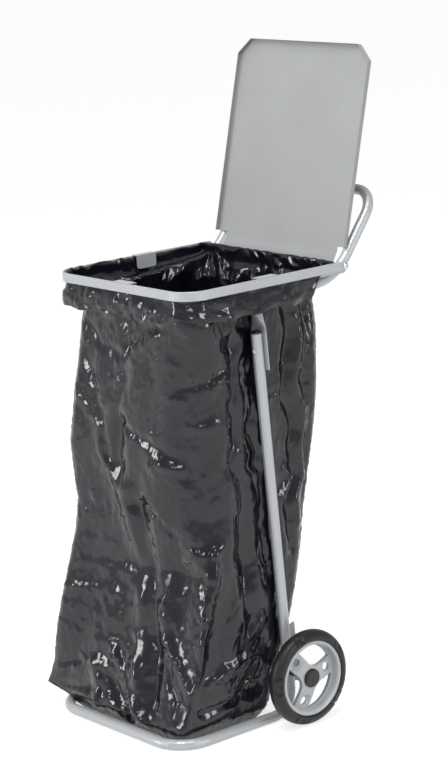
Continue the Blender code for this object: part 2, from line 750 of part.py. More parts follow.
def window(target, hub, along, middle, sweep):
    """Cuts one window between two arms: narrow at the hub and wide at the barrel."""
    inner_half = sweep * 0.35
    outer_half = sweep + math.radians(6)
    steps = 6
    outline = []
    for step in range(steps + 1):
        turn = middle - outer_half + 2 * outer_half * step / steps
        outline.append((WINDOW_OUTER * math.cos(turn), WINDOW_OUTER * math.sin(turn)))
    for step in range(3):
        turn = middle + inner_half - inner_half * step
        outline.append((WINDOW_INNER * math.cos(turn), WINDOW_INNER * math.sin(turn)))
    bm = bmesh.new()
    depth = WEB_THICKNESS * 4
    face = bm.faces.new([bm.verts.new((-depth / 2, y, z)) for y, z in outline])
    grown = bmesh.ops.extrude_face_region(bm, geom=[face])["geom"]
    moved = [item for item in grown if isinstance(item, bmesh.types.BMVert)]
    bmesh.ops.translate(bm, vec=(depth, 0, 0), verts=moved)
    outward(bm)
    mesh = bpy.data.meshes.new("window")
    bm.to_mesh(mesh)
    bm.free()
    cutter = bpy.data.objects.new("window_in_" + target.name, mesh)
    bpy.context.scene.collection.objects.link(cutter)
    cutter.parent = hub
    cutter.location = (along, 0, 0)
    cutter.hide_render = True
    cutter.display_type = "WIRE"
    cut = target.modifiers.new("window", "BOOLEAN")
    cut.operation = "DIFFERENCE"
    cut.object = cutter


def tyre(word, side, hub, rubber):
    """Solid tyre with crescent lugs sunk into both shoulders, the inner row half a pitch on."""
    half = TYRE_WIDTH / 2
    seat = RIM_RADIUS + SEAT
    profile = [
        (half - 0.0020, seat, 0.0),
        (half, seat + 0.0050, 0.15),
        (half - 0.0012, WHEEL_RADIUS - 0.0080, 1.0),
        (half - 0.0060, WHEEL_RADIUS - 0.0022, 1.0),
        (half * 0.30, WHEEL_RADIUS, 0.0),
        (-half * 0.30, WHEEL_RADIUS, 0.0),
        (-half + 0.0060, WHEEL_RADIUS - 0.0022, -1.0),
        (-half + 0.0012, WHEEL_RADIUS - 0.0080, -1.0),
        (-half, seat + 0.0050, -0.15),
        (-half + 0.0020, seat, 0.0),
    ]
    steps = 60
    rings = []
    for step in range(steps):
        turn = 2 * math.pi * step / steps
        ring = []
        for along, radius, share in profile:
            row = 0.0 if share >= 0 else math.pi / LUG_COUNT
            phase = (turn - LUG_ANGLE - row) * LUG_COUNT / (2 * math.pi)
            away = abs(phase - round(phase)) * 2 * math.pi / LUG_COUNT
            sunk = LUG_DEPTH * abs(share) * min(1.0, max(0.0, (LUG_SWEEP - away) / 0.06))
            sunk_along = along - math.copysign(sunk * 0.8, along)
            sunk_radius = radius - sunk * 0.5
            ring.append(
                (side * sunk_along, sunk_radius * math.cos(turn), sunk_radius * math.sin(turn))
            )
        rings.append(ring)
    bm = bmesh.new()
    rows = [[bm.verts.new(point) for point in ring] for ring in rings]
    count = len(profile)
    for index, row in enumerate(rows):
        following = rows[(index + 1) % steps]
        for i in range(count):
            j = (i + 1) % count
            bm.faces.new((row[i], row[j], following[j], following[i]))
    add("tyre_" + word, outward(bm), rubber, hub)


def hub_cap(word, side, hub, plastic):
    base = HUB_FACE + SEAT
    wall = 0.0022
    profile = [
        (base, CAP_RADIUS - wall),
        (base, CAP_RADIUS),
        (base + CAP_HEIGHT * 0.55, CAP_RADIUS - 0.0006),
        (base + CAP_HEIGHT * 0.90, CAP_RADIUS * 0.80),
        (base + CAP_HEIGHT, 0.0),
        (base + CAP_HEIGHT - wall, 0.0),
        (base + CAP_HEIGHT * 0.90 - wall, CAP_RADIUS * 0.74),
        (base + CAP_HEIGHT * 0.45, CAP_RADIUS - wall),
    ]
    bm = turned([(side * along, radius) for along, radius in profile], 28, closed=True)
    add("hub_cap_" + word, bm, plastic, hub)


def wheels(stand, metal, rubber, silver, black):
    axle_y = leg_y(WHEEL_RADIUS)
    carrier = empty("axle_centre", (0, axle_y, WHEEL_RADIUS), stand)
    end = WHEEL_X + HUB_FACE + 0.0035
    chamfer = 0.001
    profile = [
        (-end, 0.0),
        (-end, AXLE_RADIUS - chamfer),
        (-end + chamfer, AXLE_RADIUS),
        (end - chamfer, AXLE_RADIUS),
        (end, AXLE_RADIUS - chamfer),
        (end, 0.0),
    ]
    add("axle", turned(profile, 20), metal, carrier)
    for side, word in ((1, "right"), (-1, "left")):
        bore = AXLE_RADIUS + HOLE_CLEARANCE
        inner = LEG_X + TUBE_RADIUS + SEAT
        outer = WHEEL_X - HUB_INNER - SEAT
        spacer = [(inner, bore), (outer, bore), (outer, 0.0090), (inner, 0.0090)]
        bm = turned([(side * along, radius) for along, radius in spacer], 20, closed=True)
        add("axle_spacer_" + word, bm, black, carrier)
        face = WHEEL_X + HUB_FACE + SEAT
        ring = [(face, bore), (face + 0.0012, bore), (face + 0.0012, 0.0110), (face, 0.0110)]
        bm = turned([(side * along, radius) for along, radius in ring], 20, closed=True)
        add("retaining_ring_" + word, bm, metal, carrier)
        hub = empty("wheel_centre_" + word, (side * WHEEL_X, 0, 0), carrier)
        rim(word, side, hub, silver)
        tyre(word, side, hub, rubber)
        hub_cap(word, side, hub, black)


# Corners of the sack's outline at each height: front left, front right, rear right, rear left, and the bend
SACK_LEVELS = (
    (0.8600, (-0.172, 0.026), (0.180, 0.020), (0.178, 0.392), (-0.178, 0.388), 0.045),
    (0.8000, (-0.176, 0.024), (0.184, 0.014), (0.182, 0.396), (-0.182, 0.385), 0.045),
    (0.7100, (-0.186, 0.012), (0.188, 0.010), (0.182, 0.388), (-0.186, 0.375), 0.045),
    (0.5700, (-0.206, 0.000), (0.190, 0.008), (0.178, 0.368), (-0.188, 0.360), 0.045),
    (0.4400, (-0.198, 0.010), (0.190, 0.006), (0.178, 0.346), (-0.188, 0.340), 0.045),
    (0.3300, (-0.208, -0.012), (0.190, 0.000), (0.182, 0.315), (-0.190, 0.310), 0.045),
    (0.2300, (-0.226, -0.034), (0.190, -0.012), (0.186, 0.274), (-0.190, 0.270), 0.045),
    (0.1500, (-0.236, -0.044), (0.188, -0.024), (0.186, 0.246), (-0.190, 0.245), 0.045),
    (0.1210, (-0.240, -0.048), (0.186, -0.032), (0.184, 0.232), (-0.190, 0.232), 0.040),
    (0.1080, (-0.241, -0.050), (0.186, -0.034), (0.184, 0.212), (-0.190, 0.212), 0.040),
    (0.0850, (-0.242, -0.052), (0.186, -0.038), (0.184, 0.208), (-0.190, 0.208), 0.040),
    (0.0400, (-0.244, -0.060), (0.186, -0.050), (0.184, 0.200), (-0.190, 0.200), 0.035),
    (0.0300, (-0.226, -0.056), (0.184, -0.048), (0.184, 0.198), (-0.188, 0.198), 0.035),
    (0.0264, (-0.190, -0.047), (0.181, -0.046), (0.181, 0.194), (-0.184, 0.194), 0.035),
    (0.0120, (-0.175, -0.044), (0.174, -0.044), (0.174, 0.188), (-0.175, 0.188), 0.035),
    (0.0060, (-0.165, -0.034), (0.165, -0.034), (0.165, 0.180), (-0.165, 0.180), 0.035),
)


def sack_outline(corners, bends):
    """Points round a four-cornered outline with bent corners, and the outward direction at each."""
    corners = [Vector(corner) for corner in corners]
    tangents = []
    arcs = []
    for index, corner in enumerate(corners):
        before = (corners[index - 1] - corner).normalized()
        after = (corners[(index + 1) % 4] - corner).normalized()
        half = before.angle(after) / 2
        reach = bends[index] / math.tan(half)
        middle = corner + (before + after).normalized() * (bends[index] / math.sin(half))
        start = corner + before * reach - middle
        arc = []
        for step in range(SACK_CORNER + 1):
            turn = (math.pi - 2 * half) * step / SACK_CORNER
            arc.append(middle + Matrix.Rotation(turn, 2) @ start)
        arcs.append(arc)
        tangents.append((before, after))
    points = []
    normals = []
    for index, arc in enumerate(arcs):
        before, after = tangents[index]
        for step, point in enumerate(arc):
            points.append(point)
            t = step / SACK_CORNER
            first = Vector((-before.y, before.x))
            last = Vector((after.y, -after.x))
            normals.append((first * (1 - t) + last * t).normalized())
        ahead = arcs[(index + 1) % 4][0]
        for step in range(1, SACK_SIDE):
            points.append(arc[-1].lerp(ahead, step / SACK_SIDE))
            normals.append(Vector((after.y, -after.x)))
    return points, normals


def blend(value, low, high):
    """Smooth step from 0 at low to 1 at high."""
    t = min(1.0, max(0.0, (value - low) / (high - low)))
    return t * t * (3 - 2 * t)


def handle_top(y):
    """Highest point of the handle's level run at a depth, with the start of its rise."""
    slope = (RUN_REAR_Z - RUN_FRONT_Z) / (handle_y(RUN_REAR_Z) - leg_y(RUN_FRONT_Z))
    turn = math.pi / 2 - HANDLE_LEAN - math.atan(slope)
    rise_from = handle_y(RUN_REAR_Z) - HANDLE_REAR_BEND * math.tan(turn / 2)
    past = max(0.0, y - rise_from)
    run = RUN_REAR_Z + (y - handle_y(RUN_REAR_Z)) * slope + TUBE_RADIUS
    return run + past * past / (2 * (HANDLE_REAR_BEND - TUBE_RADIUS))


def sack(stand, film):
    """Open film sack: turned over the inner ring in a cuff, hung inside it and creased down to the floor."""
    front = BAR_THICKNESS * 1.5 + RING_GAP
    side = INNER_MID_X
    fold = ((-side, front), (side, front), (side, REAR_BAR_Y), (-side, REAR_BAR_Y))
    points, normals = sack_outline(fold, (INNER_RING_BEND, INNER_RING_BEND, REAR_FOLD_BEND, REAR_FOLD_BEND))
    over = BAR_THICKNESS / 2 + RING_GAP / 2
    count = len(points)
    waves = [math.sin(i * 1.9) * 0.5 + math.sin(i * 0.73 + 1.1) * 0.5 for i in range(count)]
    tube_side = HANDLE_X - TUBE_RADIUS
    rings = []
    for part in (1.0, 0.62, 0.30, 0.0):
        ring = []
        for point, normal, wave in zip(points, normals, waves):
            end = blend(point.y, REAR_BAR_Y - 0.070, REAR_BAR_Y - 0.020)
            corner = blend(abs(point.x), tube_side - 0.062, tube_side - 0.022)
            held = end * corner
            free = 1 - end + end * (1 - corner) * 0.35
            top = RING_LOW_Z - 0.002 + end * (1 - corner) * 0.006
            hem = top - (CUFF_DROP + 0.006 * wave) * free * part
            hem = hem * (1 - held) + (FOLD_Z + 0.0016 - 0.0004 * part) * held
            bulge = CUFF_BULGE * math.sin(math.pi * min(part, 0.72) * 0.62) * (0.85 + 0.25 * wave)
            near_end = blend(point.y, REAR_BAR_Y - 0.130, REAR_BAR_Y - 0.075)
            bulge *= 1 - near_end + end * (1 - corner) * 0.35
            spot = point + normal * (over + bulge)
            ring.append((spot.x, spot.y, hem))
        rings.append(ring)
    for out, rise in ((1, 0.0), (0.71, 0.45), (0.0, 0.62), (-0.71, 0.45), (-1, 0.0)):
        ring = []
        for point, normal in zip(points, normals):
            rear = blend(point.y, REAR_BAR_Y - 0.016, REAR_BAR_Y - 0.006)
            top = FOLD_Z + (REAR_FOLD_Z - FOLD_Z) * rear + 0.0015
            spot = point + normal * (over * out)
            ring.append((spot.x, spot.y, top + over * rise))
        rings.append(ring)
    for inward, lift in ((0.0, 0.0012), (1.0, 0.0)):
        ring = []
        for point, normal in zip(points, normals):
            spot = point - normal * (over + 0.0004)
            shelf = handle_top(min(spot.y, REAR_BAR_Y - 0.010)) + 0.0035
            x = spot.x
            if inward:
                x = max(-tube_side + 0.003, min(tube_side - 0.003, x))
            ring.append((x, spot.y, shelf + lift))
        rings.append(ring)
    for level, *corners, bend in SACK_LEVELS:
        points, normals = sack_outline(corners, (bend,) * 4)
        depth = 0.007 * min(1.0, (0.90 - level) / 0.20) * min(1.0, level / 0.10)
        ring = []
        for index, (point, normal) in enumerate(zip(points, normals)):
            fold_in = math.sin(index * 0.9 + level * 9) + 0.6 * math.sin(index * 2.3 - level * 5)
            leg_near = max(0.0, 1 - abs(point.y - leg_y(level)) / 0.05) * (abs(point.x) > 0.15)
            shift = depth * (0.5 * fold_in - 0.8) * (1 - leg_near) - 0.003 * leg_near
            spot = point + normal * shift
            limit = LEG_X - TUBE_RADIUS - 0.003 if leg_near else 1.0
            x = max(-limit, min(limit, spot.x))
            ring.append((x, spot.y, level))
        rings.append(ring)
    bm = bmesh.new()
    rows = skin(bm, rings, False)
    centre = sum((Vector(p) for p in rings[-1]), Vector()) / count
    pole = bm.verts.new(centre)
    for i in range(count):
        bm.faces.new((rows[-1][i], rows[-1][(i + 1) % count], pole))
    bmesh.ops.recalc_face_normals(bm, faces=bm.faces)
    made = add("sack", bm, film, stand)
    wall = made.modifiers.new("film", "SOLIDIFY")
    wall.thickness = FILM
    wall.offset = 0


def build():
    clear_scene()
    steel = finish("frame_steel", (0.60, 0.62, 0.63), 0.38, 0.35)
    zinc = finish("zinc_steel", (0.66, 0.67, 0.68), 0.30, 0.90)
    sheet = finish("lid_sheet", (0.40, 0.42, 0.42), 0.45, 0.35)
    rubber = finish("tyre_rubber", (0.035, 0.035, 0.036), 0.60, 0.0)
    silver = finish("rim_plastic", (0.47, 0.49, 0.51), 0.42, 0.15)
    black = finish("black_plastic", (0.03, 0.03, 0.03), 0.40, 0.0)
    film = finish("sack_film", (0.035, 0.034, 0.037), 0.30, 0.0)

    stand = empty("stand", (0, -ORIGIN_Y, 0))
    base_frame(stand, steel)
    leg_plugs(stand, black)
    gussets(stand, steel)
    handle_frame(stand, steel)
    inner_ring(stand, steel)
    rear_bar(stand, steel)
    ring_pivot = empty("ring_pivot", (0, PIVOT_Y, PIVOT_Z), stand)
    clamp_ring(ring_pivot, steel)
    ring_clips(ring_pivot, steel)
    lid_hinge = empty("lid_hinge", (0, PIVOT_Y, PIVOT_Z), stand)
    lid(lid_hinge, sheet)
    hinge_parts(stand, ring_pivot, steel, zinc)
    end_fasteners(stand, zinc)
    wheels(stand, zinc, rubber, silver, black)
    sack(stand, film)
    bpy.context.view_layer.update()


build()
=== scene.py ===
"""Looks of the wheeled refuse sack stand: silver tube, grey sheet lid, grey wheels and a film sack."""

import math

import bpy
import bmesh
import numpy as np
from mathutils import Matrix, Vector


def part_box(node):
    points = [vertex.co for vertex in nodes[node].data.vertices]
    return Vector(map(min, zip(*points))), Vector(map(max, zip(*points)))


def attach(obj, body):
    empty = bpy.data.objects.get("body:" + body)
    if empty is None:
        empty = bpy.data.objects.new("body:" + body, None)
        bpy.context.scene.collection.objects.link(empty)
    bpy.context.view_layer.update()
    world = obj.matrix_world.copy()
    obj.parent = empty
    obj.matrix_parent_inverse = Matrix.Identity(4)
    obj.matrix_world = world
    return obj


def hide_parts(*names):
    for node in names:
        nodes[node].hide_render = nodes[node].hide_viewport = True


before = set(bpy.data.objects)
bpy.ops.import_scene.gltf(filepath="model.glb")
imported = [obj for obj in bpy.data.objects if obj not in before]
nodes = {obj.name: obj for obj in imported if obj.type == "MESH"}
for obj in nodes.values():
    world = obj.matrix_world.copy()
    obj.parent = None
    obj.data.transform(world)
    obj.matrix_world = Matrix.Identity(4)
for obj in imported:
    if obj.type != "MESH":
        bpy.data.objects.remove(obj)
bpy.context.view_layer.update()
scene = bpy.context.scene


# The camera: a long lens a little above the ring, turned half round to the front right, and rolled a
# little. Its place and direction come from the points of the frame that the photograph shows.
CAMERA_PLACE = (3.8110, -3.1720, 1.8286)
CAMERA_TURN = math.radians(49.95)
CAMERA_DOWN = math.radians(13.07)
CAMERA_ROLL = math.radians(-2.94)
CAMERA_LENS = 114.47

eye = bpy.data.cameras.new("eye")
eye.lens = CAMERA_LENS
eye.clip_end = 60
camera = bpy.data.objects.new("camera", eye)
scene.collection.objects.link(camera)
camera.location = CAMERA_PLACE
turn = Matrix.Rotation(CAMERA_TURN, 3, "Z") @ Matrix.Rotation(math.pi / 2 - CAMERA_DOWN, 3, "X")
camera.rotation_euler = (turn @ Matrix.Rotation(CAMERA_ROLL, 3, "Z")).to_euler()
scene.camera = camera
scene.view_settings.view_transform = "Standard"


# The studio: a pale floor that runs out of sight, and a room that the coated steel mirrors as white near
# the floor and darker overhead. Five soft lamps stand round the stand.
FLOOR_SIZE = 60
FLOOR_LEVEL = -0.0005
FLOOR_PAINT = (0.55, 0.55, 0.55, 1)
FLOOR_GLOW = 0.70
ROOM_LIGHT = 0.50
MIRRORED_HEIGHT = (0.10, 0.60)
MIRRORED_LIGHT = (0.45, -0.55)
WHITE = (1, 1, 1, 1)


def node(tree, kind, values=(), **settings):
    """Adds a shader node with its settings, and values on the sockets that nothing is linked to."""
    made = tree.nodes.new("ShaderNode" + kind)
    for name, value in settings.items():
        setattr(made, name, value)
    for socket, value in dict(values).items():
        made.inputs[socket].default_value = value
    return made


def wired(tree, *runs):
    """Links sockets, each run from a node's output to another node's input."""
    for source, given, target, taken in runs:
        tree.links.new(source.outputs[given], target.inputs[taken])


bpy.ops.object.select_all(action="DESELECT")
bpy.ops.mesh.primitive_plane_add(size=FLOOR_SIZE, location=(0, 0, FLOOR_LEVEL))
floor = bpy.context.object
floor.name = "studio_floor"
floor_paint = bpy.data.materials.new("pale_floor")
floor_paint.use_nodes = True
tree = floor_paint.node_tree
tree.nodes.clear()
path = node(tree, "LightPath")
matt = node(tree, "BsdfDiffuse", {"Color": FLOOR_PAINT})
glow = node(tree, "Emission", {"Color": WHITE})
mirrored = node(tree, "Math", operation="MAXIMUM")
either = node(tree, "Math", operation="MAXIMUM")
seen = node(tree, "Math", {1: FLOOR_GLOW}, operation="MULTIPLY")
total = node(tree, "AddShader")
out = node(tree, "OutputMaterial")
wired(
    tree,
    (path, "Is Glossy Ray", mirrored, 0), (path, "Is Transmission Ray", mirrored, 1),
    (path, "Is Camera Ray", either, 0), (mirrored, 0, either, 1),
    (either, 0, seen, 0), (seen, 0, glow, "Strength"),
    (matt, 0, total, 0), (glow, 0, total, 1), (total, 0, out, "Surface"),
)
floor.data.materials.append(floor_paint)

room = bpy.data.worlds.new("room")
scene.world = room
room.use_nodes = True
tree = room.node_tree
tree.nodes.clear()
path = node(tree, "LightPath")
aloft = node(tree, "TexCoord")
apart = node(tree, "SeparateXYZ")
ceiling = node(tree, "MapRange", {
    "From Min": MIRRORED_HEIGHT[0], "From Max": MIRRORED_HEIGHT[1],
    "To Min": MIRRORED_LIGHT[0], "To Max": MIRRORED_LIGHT[1],
})
mirrored = node(tree, "Math", operation="MULTIPLY_ADD")
look = node(tree, "Math", operation="MAXIMUM")
level = node(tree, "Mix", {"A": ROOM_LIGHT, "B": 1.0}, clamp_factor=False)
air = node(tree, "Background", {"Color": WHITE})
out = node(tree, "OutputWorld")
wired(
    tree,
    (aloft, "Generated", apart, 0), (apart, "Z", ceiling, "Value"),
    (path, "Is Glossy Ray", mirrored, 0), (ceiling, "Result", mirrored, 1),
    (path, "Is Transmission Ray", mirrored, 2),
    (path, "Is Camera Ray", look, 0), (mirrored, 0, look, 1),
    (look, 0, level, "Factor"), (level, "Result", air, "Strength"), (air, 0, out, "Surface"),
)

for name, place, aim, size, power in (
    ("left_lamp", (-1.7, -3.7, 1.7), (0, 0, 0.6), (0.8, 1.7), 62),
    ("right_lamp", (3.7, 0.7, 1.7), (0, 0, 0.7), (0.6, 1.6), 36),
    ("top_lamp", (0.3, -0.6, 4.0), (0, 0, 0.6), (2.2, 2.2), 60),
    ("eye_lamp", (2.2, -2.8, 2.9), (0, 0, 0.6), (0.35, 0.8), 16),
    ("mouth_lamp", (0.7, -1.0, 2.8), (-0.05, 0.10, 0.85), (0.30, 0.70), 11),
):
    lamp = bpy.data.lights.new(name, "AREA")
    lamp.shape = "RECTANGLE"
    lamp.size, lamp.size_y = size
    lamp.energy = power
    holder = bpy.data.objects.new(name, lamp)
    scene.collection.objects.link(holder)
    holder.location = place
    holder.rotation_euler = (Vector(aim) - Vector(place)).to_track_quat("-Z", "Y").to_euler()


# Frame, handle and rings: steel tube and flat bar, bent and welded, under a silver powder coat that is
# fine as the skin of an orange. Plates and clips are sprayed with what they are welded to.
SILVER = (0.475, 0.493, 0.511)


def powder_coat():
    """Group: small flow marks of a sprayed coat, paler where dust and rubbing have dulled it."""
    group = bpy.data.node_groups.new("powder_coat", "ShaderNodeTree")
    for name, way, kind in (
        ("Coat", "INPUT", "Color"), ("Grain", "INPUT", "Float"), ("Gloss", "INPUT", "Float"),
        ("Color", "OUTPUT", "Color"), ("Roughness", "OUTPUT", "Float"), ("Normal", "OUTPUT", "Vector"),
    ):
        group.interface.new_socket(name, in_out=way, socket_type="NodeSocket" + kind)
    take = group.nodes.new("NodeGroupInput")
    give = group.nodes.new("NodeGroupOutput")
    place = node(group, "TexCoord")
    grain = node(group, "TexNoise", {"Detail": 4})
    cloud = node(group, "TexNoise", {"Scale": 9, "Detail": 5})
    tone = node(group, "MapRange", {"To Min": 0.90, "To Max": 1.08})
    flake = node(group, "MapRange", {"To Min": 0.95, "To Max": 1.05})
    both = node(group, "Math", operation="MULTIPLY")
    colour = node(group, "VectorMath", operation="SCALE")
    dull = node(group, "Math", {1: 0.16}, operation="MULTIPLY_ADD")
    bump = node(group, "Bump", {"Strength": 0.10, "Distance": 0.0006})
    wired(
        group,
        (place, "Object", grain, "Vector"), (place, "Object", cloud, "Vector"),
        (take, "Grain", grain, "Scale"),
        (cloud, "Fac", tone, "Value"), (grain, "Fac", flake, "Value"),
        (tone, "Result", both, 0), (flake, "Result", both, 1),
        (take, "Coat", colour, 0), (both, 0, colour, "Scale"),
        (cloud, "Fac", dull, 0), (take, "Gloss", dull, 2),
        (grain, "Fac", bump, "Height"),
        (colour, 0, give, "Color"), (dull, 0, give, "Roughness"), (bump, "Normal", give, "Normal"),
    )
    return group


def coated(name, colour, grain, gloss, metallic):
    """A material that wears the powder coat."""
    made = bpy.data.materials.new(name)
    made.use_nodes = True
    tree = made.node_tree
    shader = tree.nodes["Principled BSDF"]
    shader.inputs["Metallic"].default_value = metallic
    coat = tree.nodes.new("ShaderNodeGroup")
    coat.node_tree = sprayed
    for socket, value in (("Coat", (*colour, 1)), ("Grain", grain), ("Gloss", gloss)):
        coat.inputs[socket].default_value = value
    wired(
        tree,
        (coat, "Color", shader, "Base Color"), (coat, "Roughness", shader, "Roughness"),
        (coat, "Normal", shader, "Normal"),
    )
    return made


def wear(names, material):
    """Gives CAD nodes their finish."""
    for name in names:
        mesh = nodes[name].data
        mesh.materials.clear()
        mesh.materials.append(material)


sprayed = powder_coat()
silver_coat = coated("silver_coat", SILVER, 900, 0.26, 0.35)
wear(("base_frame", "leg_gusset_left", "leg_gusset_right"), silver_coat)
wear(("handle_frame", "inner_ring", "rear_bar"), silver_coat)
wear(("clamp_ring", "front_clip", "left_clip", "right_clip"), silver_coat)


# Lid: one aluminium sheet with folded edges and two cut corners, coated flat grey. Its rear edge is
# rolled round the hinge rod.
LID_GREY = (0.338, 0.346, 0.350)
lid_coat = coated("grey_lid_coat", LID_GREY, 700, 0.36, 0.15)
wear(("lid",), lid_coat)


# Nuts, washers, hinge rod, axle and its rings: turned or stamped steel with bright zinc plate, put
# together by hand.
ZINC = (0.66, 0.67, 0.68)
zinc_plate = coated("zinc_plate", ZINC, 1400, 0.16, 0.9)
wear(("hinge_rod", "pivot_washer_left", "pivot_washer_right", "dome_nut_left"), zinc_plate)
wear(("dome_nut_right", "axle", "retaining_ring_left", "retaining_ring_right"), zinc_plate)


# Screws: zinc plated steel with pan heads and a cross recess. Two hold rings and lid rod at the pivot, and
# one goes through each leg top. Each is made upright with its head on top, then laid along its hole.
MERGE = 0.00001
POINT = 0.0004
RECESS_TURNS = (math.radians(28), math.radians(118))
RECESS_SIZE = (0.80, 0.16, 0.66)
RECESS_HEIGHT = 0.62
SCREW_BREAK = 0.00018
PIVOT_HEAD_HEIGHT = 0.0036
END_SCREW_SEAT = (0.206, -0.0599, 0.7863)
LEG_LEAN = math.radians(3.53)


def picked(piece):
    """Makes a piece the only one selected."""
    bpy.ops.object.select_all(action="DESELECT")
    piece.select_set(True)
    bpy.context.view_layer.objects.active = piece


def primitive(kind, **values):
    """Adds a primitive, with nothing else selected."""
    bpy.ops.object.select_all(action="DESELECT")
    getattr(bpy.ops.mesh, f"primitive_{kind}_add")(**values)
    return bpy.context.object


def turned(name, profile, sides):
    """A closed ring drawn out round the upright axis along its profile of radius and height."""
    radius, height = profile[0]
    made = primitive("circle", vertices=sides, radius=radius, location=(0, 0, height))
    bpy.ops.object.transform_apply()
    made.name = name
    bpy.ops.object.mode_set(mode="EDIT")
    bpy.ops.mesh.select_all(action="SELECT")
    for wider, higher in profile[1:] + profile[:1]:
        bpy.ops.mesh.extrude_region_move(TRANSFORM_OT_translate={"value": (0, 0, higher - height)})
        bpy.ops.transform.resize(value=(wider / radius, wider / radius, 1), center_override=(0, 0, 0))
        radius, height = wider, higher
    bpy.ops.mesh.select_all(action="SELECT")
    bpy.ops.mesh.remove_doubles(threshold=MERGE)
    bpy.ops.mesh.normals_make_consistent(inside=False)
    bpy.ops.object.mode_set(mode="OBJECT")
    return made


def worked(piece, kind, **values):
    """Puts a modifier on a piece and applies it."""
    step = piece.modifiers.new("step", kind)
    for key, value in values.items():
        setattr(step, key, value)
    picked(piece)
    bpy.ops.object.modifier_apply(modifier="step")


def edges_broken(piece, width):
    """Rounds the sharp edges of a piece a little."""
    worked(piece, "BEVEL", width=width, segments=2, limit_method="ANGLE", angle_limit=math.radians(40))


def taken_out(piece, cutter, operation="DIFFERENCE"):
    """Cuts one shape out of another, or keeps what both share."""
    worked(piece, "BOOLEAN", operation=operation, solver="EXACT", object=cutter)
    bpy.data.objects.remove(cutter)


def joined(pieces):
    """Makes one object of several."""
    picked(pieces[0])
    for piece in pieces:
        piece.select_set(True)
    bpy.ops.object.join()
    return bpy.context.object


def mirrored_copy(piece, name):
    """The same piece on the other side, its faces turned outwards again."""
    made = piece.copy()
    made.data = piece.data.copy()
    made.name = name
    scene.collection.objects.link(made)
    picked(made)
    bpy.ops.object.mode_set(mode="EDIT")
    bpy.ops.mesh.select_all(action="SELECT")
    bpy.ops.transform.resize(value=(-1, 1, 1), center_override=(0, 0, 0))
    bpy.ops.mesh.normals_make_consistent(inside=False)
    bpy.ops.object.mode_set(mode="OBJECT")
    return made


def put_on_both_sides(piece, turn, place, smooth, material, bodies, node):
    """Sets the right piece in its place, copies it to the left, and puts both on their bodies."""
    piece.rotation_euler = turn
    piece.location = place
    picked(piece)
    bpy.ops.object.transform_apply()
    bpy.ops.object.shade_smooth_by_angle(angle=math.radians(smooth))
    piece.data.materials.clear()
    piece.data.materials.append(material)
    other = mirrored_copy(piece, piece.name.replace("right", "left"))
    for made, side, body in ((piece, "right", bodies[0]), (other, "left", bodies[1])):
        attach(made, body)
        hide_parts(node + side)


def pan_screw(name, head, shank, length):
    """A screw whose head's underside lies at height 0."""
    made = turned(name, [
        (POINT, -length), (shank * 0.8, -length), (shank, -length + 0.0006), (shank, 0.0), (head, 0.0),
        (head, head * 0.15), (head * 0.93, head * 0.32), (head * 0.74, head * 0.46),
        (head * 0.42, head * 0.53), (POINT, head * 0.55),
    ], 36)
    for turn in RECESS_TURNS:
        place = (0, 0, head * RECESS_HEIGHT)
        slot = primitive("cylinder", vertices=4, radius=1.0, depth=1.0, location=place)
        slot.rotation_euler = (0, 0, math.pi / 4 + turn)
        slot.scale = [head * share for share in RECESS_SIZE]
        bpy.ops.object.transform_apply()
        taken_out(made, slot)
    edges_broken(made, SCREW_BREAK)
    return made


def laid_in_hole(screw, seat, out, node):
    """Lays the right screw along its hole, and its mirror image along the left one."""
    turn = Vector(out).to_track_quat("Z", "Y").to_euler()
    put_on_both_sides(screw, turn, seat, 35, zinc_plate, ("stand", "stand"), node)


low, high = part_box("pivot_screw_right")
seat = (high[0] - PIVOT_HEAD_HEIGHT, (low[1] + high[1]) / 2, (low[2] + high[2]) / 2)
screw = pan_screw("cross_screw_pivot_right", 0.0065, 0.0030, seat[0] - low[0])
laid_in_hole(screw, seat, (1, 0, 0), "pivot_screw_")
screw = pan_screw("cross_screw_end_right", 0.0048, 0.0025, 0.0298)
laid_in_hole(screw, END_SCREW_SEAT, (0, -math.cos(LEG_LEAN), -math.sin(LEG_LEAN)), "end_screw_")


# Weld spots: two low domes of metal on each clip of the clamp ring, where the clip is spot welded to the
# flat bar, under the same silver coat.
WELD_RADIUS = 0.0026
WELD_FLATNESS = 0.42
WELD_SINK = 0.0002
WELD_SHARES = (0.24, 0.66)


def weld_spot(place):
    """A flattened dome, cut off just below the clip's face."""
    spot = primitive("uv_sphere", segments=20, ring_count=10, radius=WELD_RADIUS, location=place)
    bpy.ops.object.transform_apply()
    bpy.ops.object.mode_set(mode="EDIT")
    bpy.ops.mesh.select_all(action="SELECT")
    bpy.ops.transform.resize(value=(1, 1, WELD_FLATNESS), center_override=place)
    under = (place[0], place[1], place[2] - WELD_SINK)
    bpy.ops.mesh.bisect(plane_co=under, plane_no=(0, 0, -1), use_fill=True, clear_outer=True)
    bpy.ops.object.mode_set(mode="OBJECT")
    return spot


spots = []
for clip, run in (("front_clip", 0), ("left_clip", 1), ("right_clip", 1)):
    low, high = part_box(clip)
    for share in WELD_SHARES:
        place = [(low[axis] + high[axis]) / 2 for axis in (0, 1)] + [high[2]]
        place[run] = low[run] + (high[run] - low[run]) * share
        spots.append(weld_spot(place))
welds = joined(spots)
welds.name = "clip_weld_spots"
bpy.ops.object.shade_smooth_by_angle(angle=math.radians(50))
welds.data.materials.append(silver_coat)
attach(welds, "clamp")


